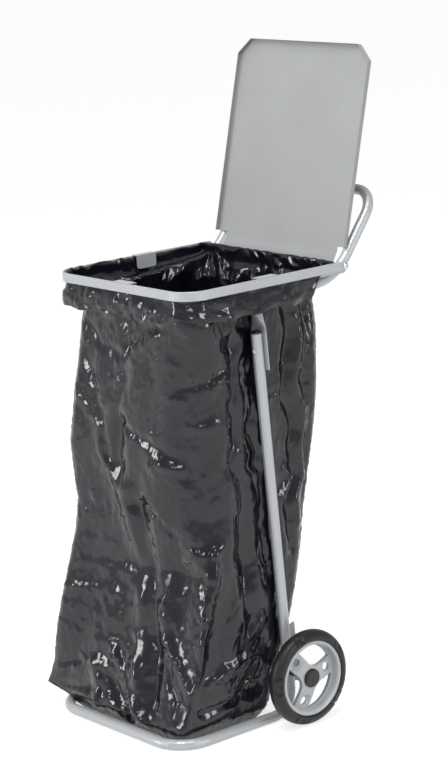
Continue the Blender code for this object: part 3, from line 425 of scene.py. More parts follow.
# Wheel centres: moulded in silver grey plastic. A deep rounded lip carries the tyre, and a dished star of
# three arms, each with a countersunk hole, joins it to the hub. The right one is made lying flat, then stood
# on its axle.
WHEEL_GREY = (0.50, 0.52, 0.54)
ARM_TURN = math.radians(101)
BARREL = 0.0668
HOLE_REACH = 0.0505
HOLE_RADIUS = 0.0088
SINK_REACH = 0.0515
SINK_TURN = 0.05
SINK_RADII = (0.0090, 0.0190)
SINK_DEPTH = 0.012
SINK_HEIGHT = 0.0052
RIM_BREAK = 0.0008
RIM_PROFILE = [
    (0.0063, 0.0100), (0.0200, 0.0100), (0.0230, 0.0096), (0.0300, 0.0086), (0.0420, 0.0064),
    (0.0540, 0.0032), (0.0640, -0.0002), (0.0676, -0.0014), (0.0690, 0.0000), (0.0700, 0.0090),
    (0.0708, 0.0132), (0.0718, 0.0152), (0.0732, 0.0164), (0.0750, 0.0168), (0.0768, 0.0165),
    (0.0782, 0.0155), (0.0790, 0.0136), (0.0790, -0.0136), (0.0782, -0.0155), (0.0768, -0.0165),
    (0.0750, -0.0168), (0.0732, -0.0164), (0.0718, -0.0150), (0.0700, -0.0110), (0.0676, -0.0094),
    (0.0640, -0.0082), (0.0540, -0.0050), (0.0420, -0.0018), (0.0300, 0.0004), (0.0180, 0.0006),
    (0.0155, -0.0020), (0.0140, -0.0255), (0.0063, -0.0255),
]


def select_where(mesh, kind, wanted):
    """Selects the corners or edges that pass a test in edit mode, and nothing else."""
    body = bmesh.from_edit_mesh(mesh)
    for item in (*body.faces, *body.edges, *body.verts):
        item.select_set(False)
    for item in getattr(body, kind):
        if wanted(item):
            item.select_set(True)
    bmesh.update_edit_mesh(mesh)


def window_cutter(turn):
    """A blunt wedge that opens the star between two arms, wider at the outer face, up to the barrel."""
    wedge = primitive("cylinder", vertices=3, radius=0.050, depth=0.060, location=(0.0735, 0, 0))
    wedge.rotation_euler = (0, 0, math.pi / 2)
    bpy.ops.object.transform_apply()
    bpy.ops.object.mode_set(mode="EDIT")
    bpy.ops.mesh.select_all(action="SELECT")
    bpy.ops.transform.resize(value=(1, 3.0, 1), center_override=(0, 0, 0))
    select_where(wedge.data, "edges", lambda edge: all(vertex.co.x < 0.026 for vertex in edge.verts))
    bpy.ops.mesh.bevel(offset=0.016, segments=7, affect="EDGES")
    select_where(wedge.data, "verts", lambda vertex: vertex.co.z > 0)
    bpy.ops.transform.resize(value=(1.16, 1.06, 1), center_override=(0.060, 0, 0))
    bpy.ops.object.mode_set(mode="OBJECT")
    taken_out(wedge, primitive("cylinder", vertices=96, radius=BARREL, depth=0.080), "INTERSECT")
    wedge.rotation_euler = (0, 0, turn)
    bpy.ops.object.transform_apply()
    return wedge


def on_arms(reach, ahead, height, kind, **values):
    """A round cutter on each arm of the star."""
    made = []
    for index in range(3):
        turn = ARM_TURN + index * math.tau / 3 + ahead
        place = (reach * math.cos(turn), reach * math.sin(turn), height)
        made.append(primitive(kind, vertices=32, location=place, **values))
    return joined(made)


def stood_on_axle(piece, material, node):
    """Stands a wheel piece up at the right wheel, and its mirror image at the left one."""
    low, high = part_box("tyre_right")
    middle = (Vector(low) + Vector(high)) / 2
    wheels = ("wheel_right", "wheel_left")
    put_on_both_sides(piece, (0, math.pi / 2, 0), middle, 38, material, wheels, node)


wheel_grey = coated("wheel_grey", WHEEL_GREY, 500, 0.30, 0.10)
rim = turned("rim_right", RIM_PROFILE, 96)
for index in range(3):
    taken_out(rim, window_cutter(ARM_TURN + math.pi / 3 + index * math.tau / 3))
widths = {"radius1": SINK_RADII[0], "radius2": SINK_RADII[1], "depth": SINK_DEPTH}
taken_out(rim, on_arms(SINK_REACH, SINK_TURN, SINK_HEIGHT, "cone", **widths))
taken_out(rim, on_arms(HOLE_REACH, 0, 0, "cylinder", radius=HOLE_RADIUS, depth=0.050))
edges_broken(rim, RIM_BREAK)
stood_on_axle(rim, wheel_grey, "wheel_rim_")


# Tyres: solid black rubber, pressed on the lip. Crescent lugs stand in both shoulders, the inner row half a
# pitch on, each a bent groove with a shallow dish inside it.
RUBBER = (0.010, 0.010, 0.011)
TYRE_SIDE = [
    (0.0794, 0.0150), (0.0806, 0.0166), (0.0828, 0.0174), (0.0860, 0.0173), (0.0898, 0.0163),
    (0.0932, 0.0146), (0.0960, 0.0120), (0.0981, 0.0088), (0.0995, 0.0046),
]
TREAD = [(0.1000, 0.0)]
LUGS = 5
LUG_TURN = math.radians(194.5)
LUG_TILT = math.radians(34)
LUG_REACH = 0.0890
LUG_HEIGHT = 0.0160
LUG_RADIUS = 0.0170
GROOVE_RADIUS = 0.0030
DISH_RADIUS = 0.0180
DISH_RISE = 0.0146
TYRE_BREAK = 0.0006


def lug_cutters():
    """Bent rods and balls that sink the grooves and dishes of all lugs."""
    made = []
    for index in range(2 * LUGS):
        face = 1 if index < LUGS else -1
        turn = LUG_TURN + (index % LUGS) * math.tau / LUGS + (0 if face > 0 else math.pi / LUGS)
        spoke = Vector((math.cos(turn), math.sin(turn), 0))
        place = spoke * LUG_REACH + Vector((0, 0, face * LUG_HEIGHT))
        out = Vector((0, 0, face * math.cos(LUG_TILT))) + spoke * math.sin(LUG_TILT)
        rings = {"major_segments": 44, "minor_segments": 10}
        groove = primitive("torus", major_radius=LUG_RADIUS, minor_radius=GROOVE_RADIUS, **rings)
        groove.rotation_euler = out.to_track_quat("Z", "Y").to_euler()
        groove.location = place
        dish = place + out * DISH_RISE
        made += [groove, primitive("uv_sphere", segments=28, ring_count=16, radius=DISH_RADIUS, location=dish)]
    return joined(made)


tyre_rubber = coated("tyre_rubber", RUBBER, 500, 0.34, 0.0)
tyre_rubber.node_tree.nodes["Principled BSDF"].inputs["Specular IOR Level"].default_value = 0.40
tyre = turned("tyre_tread_right", TYRE_SIDE + TREAD + [(r, -z) for r, z in TYRE_SIDE[::-1]], 120)
taken_out(tyre, lug_cutters())
edges_broken(tyre, TYRE_BREAK)
stood_on_axle(tyre, tyre_rubber, "tyre_")


# Hub caps, axle spacers and the plugs of the leg tops: black mouldings with a fine matt skin. The caps and
# plugs are pushed in, and the spacers slide on the axle.
BLACK = (0.010, 0.010, 0.011)
black_moulding = coated("black_moulding", BLACK, 600, 0.34, 0.0)
wear(("hub_cap_left", "hub_cap_right", "axle_spacer_left", "axle_spacer_right"), black_moulding)
wear(("leg_plug_left", "leg_plug_right"), black_moulding)


# Sack: dark polyethylene film, turned over the inner ring and hung inside it. It is lofted with the flats,
# ridge and pack folds that it shows, then given more film than its shape needs and crumpled by the cloth
# solver three times, from folds as wide as a hand down to small creases.
SACK_AROUND = 320
CUFF_ROWS = 16
LIP_ROWS = 7
LEDGE_ROWS = 5
FALL_ROWS = 131
FOOT_ROWS = 7
FAN_SHARES = (0.8, 0.6, 0.4, 0.2)
RING_FRONT = 0.2343
FOLD_X = 0.2073
FOLD_FRONT = 0.0092 - RING_FRONT
FOLD_REAR = 0.4000 - RING_FRONT
FOLD_BEND = 0.043
REAR_BEND = 0.0045
FOLD_OVER = 0.0036
CUFF_TOP = 0.9110
CUFF_DROP = 0.046
HELD_LEVEL = 0.9272
LIP_LEVEL = 0.9268
TUBE_LEVEL = 0.9145
LEDGE_LEVEL = 0.9050
TUBE_INSIDE = 0.1815
WALL_TOP = 0.860
WALL_FOOT = 0.030
# The wall's outline at some heights: its corners from the front left round to the rear left, and their bends.
WALL_LEVELS = (
    (0.860, (-0.178, -0.212), (0.184, -0.218), (0.178, 0.158), (-0.178, 0.154), (0.045, 0.060, 0.045, 0.045)),
    (0.800, (-0.182, -0.214), (0.188, -0.226), (0.182, 0.162), (-0.182, 0.151), (0.045, 0.105, 0.045, 0.045)),
    (0.710, (-0.192, -0.224), (0.192, -0.228), (0.182, 0.154), (-0.186, 0.141), (0.045, 0.140, 0.045, 0.045)),
    (0.570, (-0.212, -0.236), (0.194, -0.226), (0.180, 0.134), (-0.188, 0.126), (0.040, 0.150, 0.042, 0.042)),
    (0.450, (-0.203, -0.228), (0.193, -0.216), (0.180, 0.112), (-0.188, 0.106), (0.034, 0.120, 0.040, 0.040)),
    (0.385, (-0.208, -0.238), (0.193, -0.196), (0.181, 0.096), (-0.189, 0.091), (0.030, 0.062, 0.040, 0.040)),
    (0.340, (-0.214, -0.248), (0.194, -0.186), (0.182, 0.081), (-0.190, 0.076), (0.026, 0.022, 0.038, 0.038)),
    (0.230, (-0.232, -0.270), (0.193, -0.214), (0.186, 0.040), (-0.190, 0.036), (0.022, 0.014, 0.034, 0.034)),
    (0.150, (-0.242, -0.280), (0.191, -0.236), (0.186, 0.010), (-0.190, 0.010), (0.018, 0.014, 0.030, 0.030)),
    (0.108, (-0.246, -0.284), (0.190, -0.248), (0.184, -0.022), (-0.190, -0.022), (0.013, 0.012, 0.020, 0.020)),
    (0.070, (-0.251, -0.289), (0.188, -0.262), (0.184, -0.026), (-0.190, -0.026), (0.009, 0.012, 0.018, 0.018)),
    (0.040, (-0.258, -0.295), (0.187, -0.275), (0.183, -0.033), (-0.188, -0.033), (0.008, 0.014, 0.018, 0.018)),
    (0.032, (-0.240, -0.291), (0.186, -0.278), (0.182, -0.036), (-0.186, -0.036), (0.012, 0.016, 0.020, 0.020)),
    (0.026, (-0.212, -0.284), (0.184, -0.280), (0.182, -0.038), (-0.184, -0.038), (0.018, 0.018, 0.022, 0.022)),
    (0.006, (-0.176, -0.276), (0.172, -0.276), (0.172, -0.050), (-0.176, -0.050), (0.030, 0.030, 0.030, 0.030)),
)
# Folds: a run of points on the film, half width and depth, where minus is inwards. Those narrower than
# SHARP_FOLD are pressed to a line, with worked film beside them.
SHARP_FOLD = 0.0135
FOLDS = (
    (((0.004, -0.222, 0.868), (-0.004, -0.222, 0.790), (-0.020, -0.224, 0.690),
      (-0.026, -0.224, 0.610)), 0.016, -0.0065),
    (((-0.026, -0.224, 0.640), (-0.040, -0.226, 0.560), (-0.034, -0.228, 0.470)), 0.024, -0.010),
    (((-0.040, -0.232, 0.520), (-0.030, -0.236, 0.460), (-0.004, -0.234, 0.376), (0.008, -0.240, 0.267),
      (0.010, -0.252, 0.160), (0.034, -0.268, 0.060)), 0.036, 0.016),
    (((-0.002, -0.230, 0.470), (0.030, -0.232, 0.376), (0.050, -0.236, 0.267), (0.056, -0.248, 0.160),
      (0.080, -0.264, 0.055)), 0.026, -0.016),
    (((0.188, -0.165, 0.390), (0.192, -0.192, 0.300), (0.191, -0.214, 0.226),
      (0.190, -0.242, 0.117)), 0.012, 0.010),
    (((0.150, -0.200, 0.400), (0.140, -0.212, 0.300), (0.130, -0.236, 0.200)), 0.030, -0.010),
    (((0.186, -0.150, 0.860), (0.192, -0.142, 0.740), (0.190, -0.138, 0.620),
      (0.191, -0.150, 0.480)), 0.016, 0.0045),
    (((0.184, -0.108, 0.800), (0.190, -0.100, 0.600), (0.190, -0.096, 0.400),
      (0.190, -0.100, 0.180)), 0.024, -0.016),
    (((0.184, -0.066, 0.760), (0.186, -0.050, 0.560), (0.186, -0.040, 0.300)), 0.022, -0.012),
    (((0.182, 0.020, 0.860), (0.184, 0.022, 0.640), (0.184, 0.010, 0.350)), 0.018, 0.010),
    (((0.182, 0.050, 0.870), (0.184, 0.050, 0.640), (0.184, 0.034, 0.350)), 0.014, -0.012),
    (((0.182, 0.080, 0.880), (0.183, 0.078, 0.640), (0.184, 0.056, 0.400)), 0.016, 0.009),
    (((0.180, 0.108, 0.880), (0.182, 0.104, 0.640), (0.182, 0.080, 0.420)), 0.013, -0.010),
    (((-0.180, -0.120, 0.905), (-0.190, -0.130, 0.700), (-0.200, -0.140, 0.450),
      (-0.225, -0.160, 0.200)), 0.030, -0.014),
    (((-0.180, -0.020, 0.905), (-0.186, -0.030, 0.700), (-0.192, -0.040, 0.400)), 0.022, 0.012),
    (((-0.180, 0.070, 0.905), (-0.186, 0.060, 0.700), (-0.188, 0.040, 0.450)), 0.024, -0.014),
    (((-0.080, 0.158, 0.900), (-0.080, 0.140, 0.650), (-0.070, 0.090, 0.350)), 0.024, -0.014),
    (((0.010, 0.160, 0.900), (0.010, 0.146, 0.650), (0.000, 0.100, 0.350)), 0.022, 0.012),
    (((0.090, 0.160, 0.900), (0.090, 0.146, 0.650), (0.080, 0.100, 0.350)), 0.024, -0.014),
    (((0.129, -0.205, 0.724), (0.162, -0.176, 0.732), (0.184, -0.136, 0.752)), 0.011, -0.006),
    (((0.160, -0.178, 0.716), (0.158, -0.180, 0.694), (0.148, -0.190, 0.664)), 0.011, 0.008),
    (((0.112, -0.213, 0.702), (0.142, -0.196, 0.698)), 0.008, 0.006),
    (((0.146, -0.191, 0.646), (0.164, -0.170, 0.642), (0.180, -0.146, 0.646)), 0.010, 0.007),
    (((0.186, -0.126, 0.748), (0.176, -0.152, 0.716)), 0.009, 0.006),
    (((0.040, -0.222, 0.586), (0.066, -0.222, 0.578), (0.088, -0.219, 0.570)), 0.009, 0.007),
    (((0.058, -0.222, 0.560), (0.090, -0.219, 0.562), (0.127, -0.201, 0.556)), 0.010, 0.008),
    (((0.070, -0.222, 0.546), (0.107, -0.212, 0.538), (0.136, -0.195, 0.518)), 0.011, 0.008),
    (((-0.016, -0.224, 0.640), (0.052, -0.224, 0.610), (0.112, -0.210, 0.584)), 0.010, -0.006),
    (((-0.215, -0.258, 0.262), (-0.120, -0.256, 0.268), (-0.045, -0.254, 0.280)), 0.006, 0.004),
    (((-0.256, -0.294, 0.044), (-0.190, -0.284, 0.080), (-0.111, -0.276, 0.117),
      (-0.060, -0.270, 0.112)), 0.012, 0.009),
    (((-0.246, -0.284, 0.098), (-0.190, -0.280, 0.102), (-0.120, -0.276, 0.120)), 0.010, -0.006),
    (((-0.240, -0.292, 0.040), (-0.160, -0.288, 0.052), (-0.090, -0.284, 0.070)), 0.012, -0.008),
    (((-0.111, -0.276, 0.117), (-0.085, -0.284, 0.064), (-0.073, -0.288, 0.030)), 0.012, 0.009),
    (((-0.090, -0.270, 0.146), (-0.050, -0.278, 0.085), (0.010, -0.284, 0.026)), 0.012, -0.010),
    (((-0.060, -0.264, 0.150), (0.000, -0.276, 0.090), (0.060, -0.282, 0.030)), 0.011, 0.008),
    (((0.018, -0.226, 0.484), (0.090, -0.214, 0.430), (0.156, -0.194, 0.396)), 0.010, -0.006),
    (((0.000, -0.230, 0.430), (0.070, -0.222, 0.350), (0.120, -0.222, 0.290)), 0.010, 0.006),
    (((0.020, -0.234, 0.390), (0.060, -0.230, 0.300), (0.110, -0.238, 0.210)), 0.009, -0.006),
    (((0.186, -0.170, 0.386), (0.120, -0.210, 0.366), (0.070, -0.226, 0.380)), 0.010, 0.006),
    (((0.080, -0.240, 0.200), (0.130, -0.240, 0.150), (0.176, -0.246, 0.100)), 0.010, 0.007),
    (((0.060, -0.244, 0.260), (0.090, -0.248, 0.180), (0.160, -0.262, 0.040)), 0.009, -0.007),
    (((0.187, -0.200, 0.120), (0.188, -0.120, 0.150), (0.187, -0.070, 0.230)), 0.011, 0.008),
    (((0.187, -0.220, 0.060), (0.187, -0.140, 0.070), (0.187, -0.080, 0.130)), 0.011, -0.008),
    (((-0.192, -0.224, 0.720), (-0.120, -0.224, 0.640), (-0.060, -0.226, 0.500),
      (-0.040, -0.232, 0.430)), 0.013, 0.006),
    (((-0.150, -0.222, 0.780), (-0.090, -0.224, 0.660), (-0.070, -0.226, 0.560)), 0.011, -0.005),
    (((-0.170, -0.216, 0.860), (-0.100, -0.218, 0.800), (-0.030, -0.220, 0.780)), 0.012, -0.006),
    (((0.000, -0.222, 0.800), (0.060, -0.222, 0.840), (0.120, -0.206, 0.850)), 0.012, -0.007),
    (((-0.010, -0.222, 0.760), (0.030, -0.224, 0.790), (0.090, -0.216, 0.830)), 0.010, 0.006),
    (((-0.140, 0.154, 0.890), (-0.136, 0.150, 0.800), (-0.120, 0.146, 0.700)), 0.013, -0.012),
    (((-0.100, 0.156, 0.890), (-0.104, 0.152, 0.780), (-0.090, 0.146, 0.700)), 0.012, -0.009),
    (((-0.040, 0.158, 0.890), (-0.020, 0.152, 0.800), (-0.030, 0.146, 0.700)), 0.013, -0.012),
    (((0.050, 0.158, 0.890), (0.040, 0.154, 0.800), (0.056, 0.148, 0.720)), 0.013, -0.010),
    (((0.130, 0.158, 0.890), (0.126, 0.154, 0.800), (0.136, 0.150, 0.720)), 0.013, -0.011),
    (((-0.178, 0.120, 0.880), (-0.180, 0.116, 0.800), (-0.184, 0.110, 0.700)), 0.012, -0.011),
    (((-0.178, 0.040, 0.880), (-0.180, 0.034, 0.800), (-0.184, 0.030, 0.700)), 0.012, -0.010),
    (((-0.178, -0.060, 0.900), (-0.181, -0.060, 0.800), (-0.186, -0.070, 0.700)), 0.012, -0.010),
)


def outline(corners, bends):
    """Points round a four-cornered outline with bent corners, from its left side's middle, and the way out."""
    corners = np.array(corners, dtype=float)
    quarter = SACK_AROUND // 4
    points = []
    for index, corner in enumerate(corners):
        before = corners[index - 1] - corner
        after = corners[(index + 1) % 4] - corner
        start, end = corner + before / 2, corner + after / 2
        before, after = before / np.linalg.norm(before), after / np.linalg.norm(after)
        half = math.acos(float(np.clip(before @ after, -1, 1))) / 2
        middle = corner + (before + after) / np.linalg.norm(before + after) * (bends[index] / math.sin(half))
        spoke = corner + before * (bends[index] / math.tan(half)) - middle
        swing = math.pi - 2 * half
        run = [start]
        for step in range(25):
            angle = swing * step / 24
            cos, sin = math.cos(angle), math.sin(angle)
            swung = (cos * spoke[0] - sin * spoke[1], sin * spoke[0] + cos * spoke[1])
            run.append(middle + np.array(swung))
        run.append(end)
        run = np.array(run)
        lengths = np.linalg.norm(np.diff(run, axis=0), axis=1)
        lengths[1:-1] *= max(1.0, 0.030 / bends[index])
        travelled = np.concatenate(((0,), np.cumsum(lengths)))
        wanted = np.arange(quarter) / quarter * travelled[-1]
        points.append(np.column_stack([np.interp(wanted, travelled, run[:, axis]) for axis in (0, 1)]))
    points = np.vstack(points)
    ahead = np.roll(points, -1, axis=0) - np.roll(points, 1, axis=0)
    normals = np.column_stack((ahead[:, 1], -ahead[:, 0]))
    return points, normals / np.linalg.norm(normals, axis=1)[:, None]


def smooth_step(value, low, high):
    """Eases from 0 at low to 1 at high."""
    share = np.clip((value - low) / (high - low), 0, 1)
    return share * share * (3 - 2 * share)


def wall_ring(height):
    """The sack's outline at a height, eased between the levels above and below it."""
    levels = WALL_LEVELS[::-1]
    heights = [level[0] for level in levels]
    eased = [
        [np.interp(height, heights, [level[part][index] for level in levels]) for index in range(count)]
        for part, count in ((1, 2), (2, 2), (3, 2), (4, 2), (5, 4))
    ]
    return outline(eased[:4], eased[4])[0]


clip_low, clip_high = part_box("left_clip")
clip_y = (clip_low[1] + clip_high[1]) / 2


def mouth_rings():
    """Cuff and turned edge, from the hem upwards and over, and the first stretch inside the ring."""
    fold = ((-FOLD_X, FOLD_FRONT), (FOLD_X, FOLD_FRONT), (FOLD_X, FOLD_REAR), (-FOLD_X, FOLD_REAR))
    bends = (FOLD_BEND, FOLD_BEND, REAR_BEND, REAR_BEND)
    points, normals = outline(fold, bends)
    x, y = points[:, 0], points[:, 1]
    ring_y = y + RING_FRONT
    along = np.arange(len(points)) / len(points) * 2 * math.pi
    wave = 0.5 * np.sin(along * 19) + 0.5 * np.sin(along * 7 + 1.1)
    side_end = smooth_step(y, FOLD_REAR - 0.075, FOLD_REAR - 0.018)
    corner = smooth_step(np.abs(x), 0.140, 0.172)
    near_end = smooth_step(y, FOLD_REAR - 0.130, FOLD_REAR - 0.075)
    held = side_end * corner
    free = 1 - side_end + side_end * (1 - corner) * 0.35
    rings = []
    for part in np.linspace(1.0, 0.0, CUFF_ROWS):
        top = CUFF_TOP + side_end * (1 - corner) * 0.006
        level = top - (CUFF_DROP + 0.004 * wave) * free * part
        level = level * (1 - held) + (HELD_LEVEL - 0.0004 * part) * held
        bulge = 0.010 * math.sin(math.pi * min(part, 0.80) * 0.60) * (0.85 + 0.2 * wave)
        bulge = bulge * (1 - near_end + side_end * (1 - corner) * 0.30)
        spot = points + normals * (FOLD_OVER + bulge)[:, None]
        rings.append(np.column_stack((spot, level)))
    rear = smooth_step(y, FOLD_REAR - 0.016, FOLD_REAR - 0.006)
    left = smooth_step(-x, FOLD_X - 0.012, FOLD_X - 0.002)
    left = left * smooth_step(np.abs(y - clip_y), 0.032, 0.048)
    crest = 0.5 + 0.5 * np.sin(along * 41 + 3 * np.sin(along * 9))
    bent = smooth_step(np.hypot(np.abs(x) - FOLD_X, y - FOLD_REAR), 0.012, 0.040)
    proud = np.where(y < clip_y, 0.0055, 0.0025) * left
    top = LIP_LEVEL + 0.0050 * rear + crest * bent * np.maximum(0.0015 * rear, proud)
    for bend in np.linspace(0, math.pi, LIP_ROWS):
        spot = points + normals * (FOLD_OVER * math.cos(bend))
        rings.append(np.column_stack((spot, top + FOLD_OVER * 0.62 * math.sin(bend))))
    run = 0.8940 + np.clip(ring_y - 0.20, -0.2, 0.2) * 0.084 + np.clip(ring_y - 0.363, 0, 1) ** 2 / 0.218
    over_tube = smooth_step(ring_y, 0.150, 0.185) * (np.abs(x) > 0.150)
    ledge = np.minimum(run, TUBE_LEVEL) * over_tube + LEDGE_LEVEL * (1 - over_tube)
    inner = points - normals * FOLD_OVER
    inside = inner.copy()
    pleat = np.clip(np.sin(along * 23 + 2 * np.sin(along * 5)) + 0.4 * np.sin(along * 57), 0, 1.4)
    reach = TUBE_INSIDE - 0.009 * pleat
    inside[:, 0] = np.clip(inner[:, 0], -reach, reach)
    drop = inner * 0.75 + wall_ring(WALL_TOP) * 0.25
    inside = inside * over_tube[:, None] + drop * (1 - over_tube[:, None])
    for share in (1 / 3, 2 / 3, 1.0):
        rings.append(np.column_stack((inner, top * (1 - share) + (ledge + 0.0012) * share)))
    for share in (0.5, 1.0):
        level = ledge + 0.0012 * (1 - share) - 0.012 * share * (1 - over_tube)
        rings.append(np.column_stack((inner * (1 - share) + inside * share, level)))
    return rings


def wall_rings(start):
    """The hanging film from the ring to the floor."""
    first = wall_ring(WALL_TOP)
    rings = [start]
    for share in np.linspace(0, 1, 8)[1:-1]:
        eased = share * share * (3 - 2 * share)
        height = start[:, 2] * (1 - share) + WALL_TOP * share
        rings.append(np.column_stack((start[:, :2] * (1 - eased) + first * eased, height)))
    fall = np.linspace(WALL_TOP, WALL_FOOT, FALL_ROWS)
    for height in np.concatenate((fall, np.linspace(0.027, 0.006, FOOT_ROWS))):
        rings.append(np.column_stack((wall_ring(height), np.full(SACK_AROUND, height))))
    return rings


def soft_waves(rows, count, tall, wide, seed):
    """A smooth random field round the sack, its humps so many rows tall and columns wide."""
    rng = np.random.default_rng(seed)
    across = max(4, round(count / wide))
    up = max(3, round(rows / tall) + 1)
    knots = rng.normal(0, 1, (up, across))
    place = np.arange(count) / count * across
    low = np.floor(place).astype(int)
    ease = smooth_step(place - low, 0, 1)
    wideways = knots[:, low % across] * (1 - ease) + knots[:, (low + 1) % across] * ease
    place = np.linspace(0, up - 1.0001, rows)
    low = np.floor(place).astype(int)
    ease = smooth_step(place - low, 0, 1)[:, None]
    return wideways[low] * (1 - ease) + wideways[low + 1] * ease


def fold_film(wall):
    """Presses the drawn folds into the wall, each along its line."""
    across = np.roll(wall, -1, axis=1) - np.roll(wall, 1, axis=1)
    across /= np.maximum(np.linalg.norm(across, axis=2), 1e-9)[:, :, None]
    out = np.dstack((across[:, :, 1], -across[:, :, 0])).reshape(-1, 2)
    rows, count = wall.shape[:2]
    wander = 0.008 * soft_waves(rows, count, 9, 18, 21) + 0.003 * soft_waves(rows, count, 4, 9, 22)
    points = (wall + across * wander[:, :, None]).reshape(-1, 3)
    shift = np.zeros(len(points))
    creased = np.zeros(len(points))
    for index, (line, width, depth) in enumerate(FOLDS):
        strength = 0.85 + 0.45 * soft_waves(rows, count, 11, 40, 30 + index)
        push = depth * np.clip(strength, 0.2, 1.5).ravel()
        nearest = np.full(len(points), 9.0)
        for start, end in zip(line, line[1:]):
            start, end = np.array(start), np.array(end)
            run = end - start
            share = np.clip(((points - start) @ run) / (run @ run), 0, 1)
            gap = np.linalg.norm(points - start - share[:, None] * run, axis=1)
            nearest = np.minimum(nearest, gap)
        near = 1 - np.minimum(nearest / (width * 1.5), 1)
        if width < SHARP_FOLD:
            shift += push * near ** 1.35
            creased = np.maximum(creased, (1 - np.minimum(nearest / (width * 2.6), 1)) ** 0.7)
        else:
            shift += push * near * near * (1.6 - 0.6 * near)
    points = wall.reshape(-1, 3).copy()
    top = np.where(shift < 0, 0.925, 0.895)
    fade = 1 - smooth_step(points[:, 2], top - 0.045, top)
    points[:, :2] += out * (shift * fade)[:, None]
    return points.reshape(wall.shape), creased


def tube_mesh(name, grid, closing=None):
    """A mesh of rows round the sack, with the floor's fan if a centre is given."""
    rows, count = grid.shape[:2]
    verts = grid.reshape(-1, 3)
    faces = []
    for row in range(rows - 1):
        low, high = row * count, (row + 1) * count
        for i in range(count):
            j = (i + 1) % count
            faces.append((low + j, low + i, high + i, high + j))
    if closing is not None:
        verts = np.vstack((verts, closing))
        last = (rows - 1) * count
        for i in range(count):
            faces.append((last + (i + 1) % count, last + i, len(verts) - 1))
    mesh = bpy.data.meshes.new(name)
    mesh.from_pydata([tuple(v) for v in verts], [], faces)
    mesh.update()
    made = bpy.data.objects.new(name, mesh)
    scene.collection.objects.link(made)
    return made


def points_of(mesh):
    """The points of a mesh, one row each."""
    flat = np.empty(len(mesh.vertices) * 3)
    mesh.vertices.foreach_get("co", flat)
    return flat.reshape(-1, 3)


SACK_MIDDLE = -0.060
FILM_CLOTH = (
    ("quality", 6), ("mass", 0.05), ("tension_stiffness", 20), ("compression_stiffness", 20),
    ("shear_stiffness", 10), ("tension_damping", 5), ("compression_damping", 5), ("shear_damping", 5),
    ("bending_damping", 0.5), ("air_damping", 2), ("pin_stiffness", 1.0),
)


def crumple(sack, tie, slack, frames, bending, nudge, most):
    """Lets the film buckle: slack is its extra width and height, nudge starts the folds, tie holds a point.

    Returns how far each point moves, which is never farther than most.
    """
    mesh = sack.data
    rest = points_of(mesh).copy()
    group = sack.vertex_groups.new(name="tie")
    steps = np.round(tie, 2)
    for value in np.unique(steps):
        group.add([int(i) for i in np.nonzero(steps == value)[0]], float(value), "REPLACE")
    normal = np.empty(len(rest) * 3)
    mesh.vertices.foreach_get("normal", normal)
    mesh.vertices.foreach_set("co", (rest + normal.reshape(-1, 3) * (nudge * (tie < 1))[:, None]).ravel())
    mesh.update()
    sack.shape_key_add(name="hung")
    cut = sack.shape_key_add(name="cut")
    wide, tall = slack
    order = np.argsort(rest[:, 2], kind="stable")
    climb = np.concatenate(((0,), np.diff(rest[order, 2]) * (1 + tall[order][1:])))
    full = np.empty_like(rest)
    full[:, 0] = rest[:, 0] * (1 + wide)
    full[:, 1] = (rest[:, 1] - SACK_MIDDLE) * (1 + wide) + SACK_MIDDLE
    full[order, 2] = rest[order[0], 2] + np.cumsum(climb)
    cut.data.foreach_set("co", full.ravel())
    cloth = sack.modifiers.new("film", "CLOTH")
    settings = cloth.settings
    for name, value in FILM_CLOTH:
        setattr(settings, name, value)
    settings.bending_stiffness = bending
    settings.vertex_group_mass = "tie"
    settings.rest_shape_key = cut
    settings.effector_weights.gravity = 0.2
    cloth.collision_settings.use_collision = False
    cloth.point_cache.frame_start = 1
    cloth.point_cache.frame_end = frames
    for step in range(1, frames + 1):
        scene.frame_set(step)
    bpy.context.view_layer.update()
    solved = points_of(sack.evaluated_get(bpy.context.evaluated_depsgraph_get()).to_mesh())
    sack.modifiers.remove(cloth)
    sack.shape_key_clear()
    sack.vertex_groups.clear()
    scene.frame_set(1)
    shift = solved - rest
    length = np.linalg.norm(shift, axis=1)
    shift *= (most * np.tanh(length / most) / np.maximum(length, 1e-9))[:, None]
    return shift


def twice_as_fine(field):
    """A field on rows round the sack, at twice the rows and columns, eased through its values."""
    ahead, behind = np.roll(field, -1, axis=1), np.roll(field, 1, axis=1)
    between = (9 * (field + ahead) - behind - np.roll(field, -2, axis=1)) / 16
    wide = np.empty((field.shape[0], field.shape[1] * 2, 3))
    wide[:, 0::2], wide[:, 1::2] = field, between
    padded = np.concatenate((wide[:1], wide, wide[-1:]))
    middle = (9 * (padded[1:-2] + padded[2:-1]) - padded[:-3] - padded[3:]) / 16
    fine = np.empty((wide.shape[0] * 2 - 1, wide.shape[1], 3))
    fine[0::2], fine[1::2] = wide, middle
    return fine


def push_from_bar(points, start, end, radius, push=None):
    """Moves points that lie inside a round bar out to its surface."""
    start, end = np.array(start), np.array(end)
    along = end - start
    share = np.clip(((points - start) @ along) / (along @ along), 0, 1)
    nearest = start + share[:, None] * along
    away = points - nearest
    distance = np.linalg.norm(away, axis=1)
    inside = distance < radius
    if push is not None:
        away[inside] += np.array(push) * radius
        distance = np.linalg.norm(away, axis=1)
    points[inside] = nearest[inside] + away[inside] / distance[inside][:, None] * radius


LEG_X = 0.206
LEG_INSIDE = 0.1925
CLEAR_OF_TUBE = 0.0125
CLEAR_OF_AXLE = 0.0075


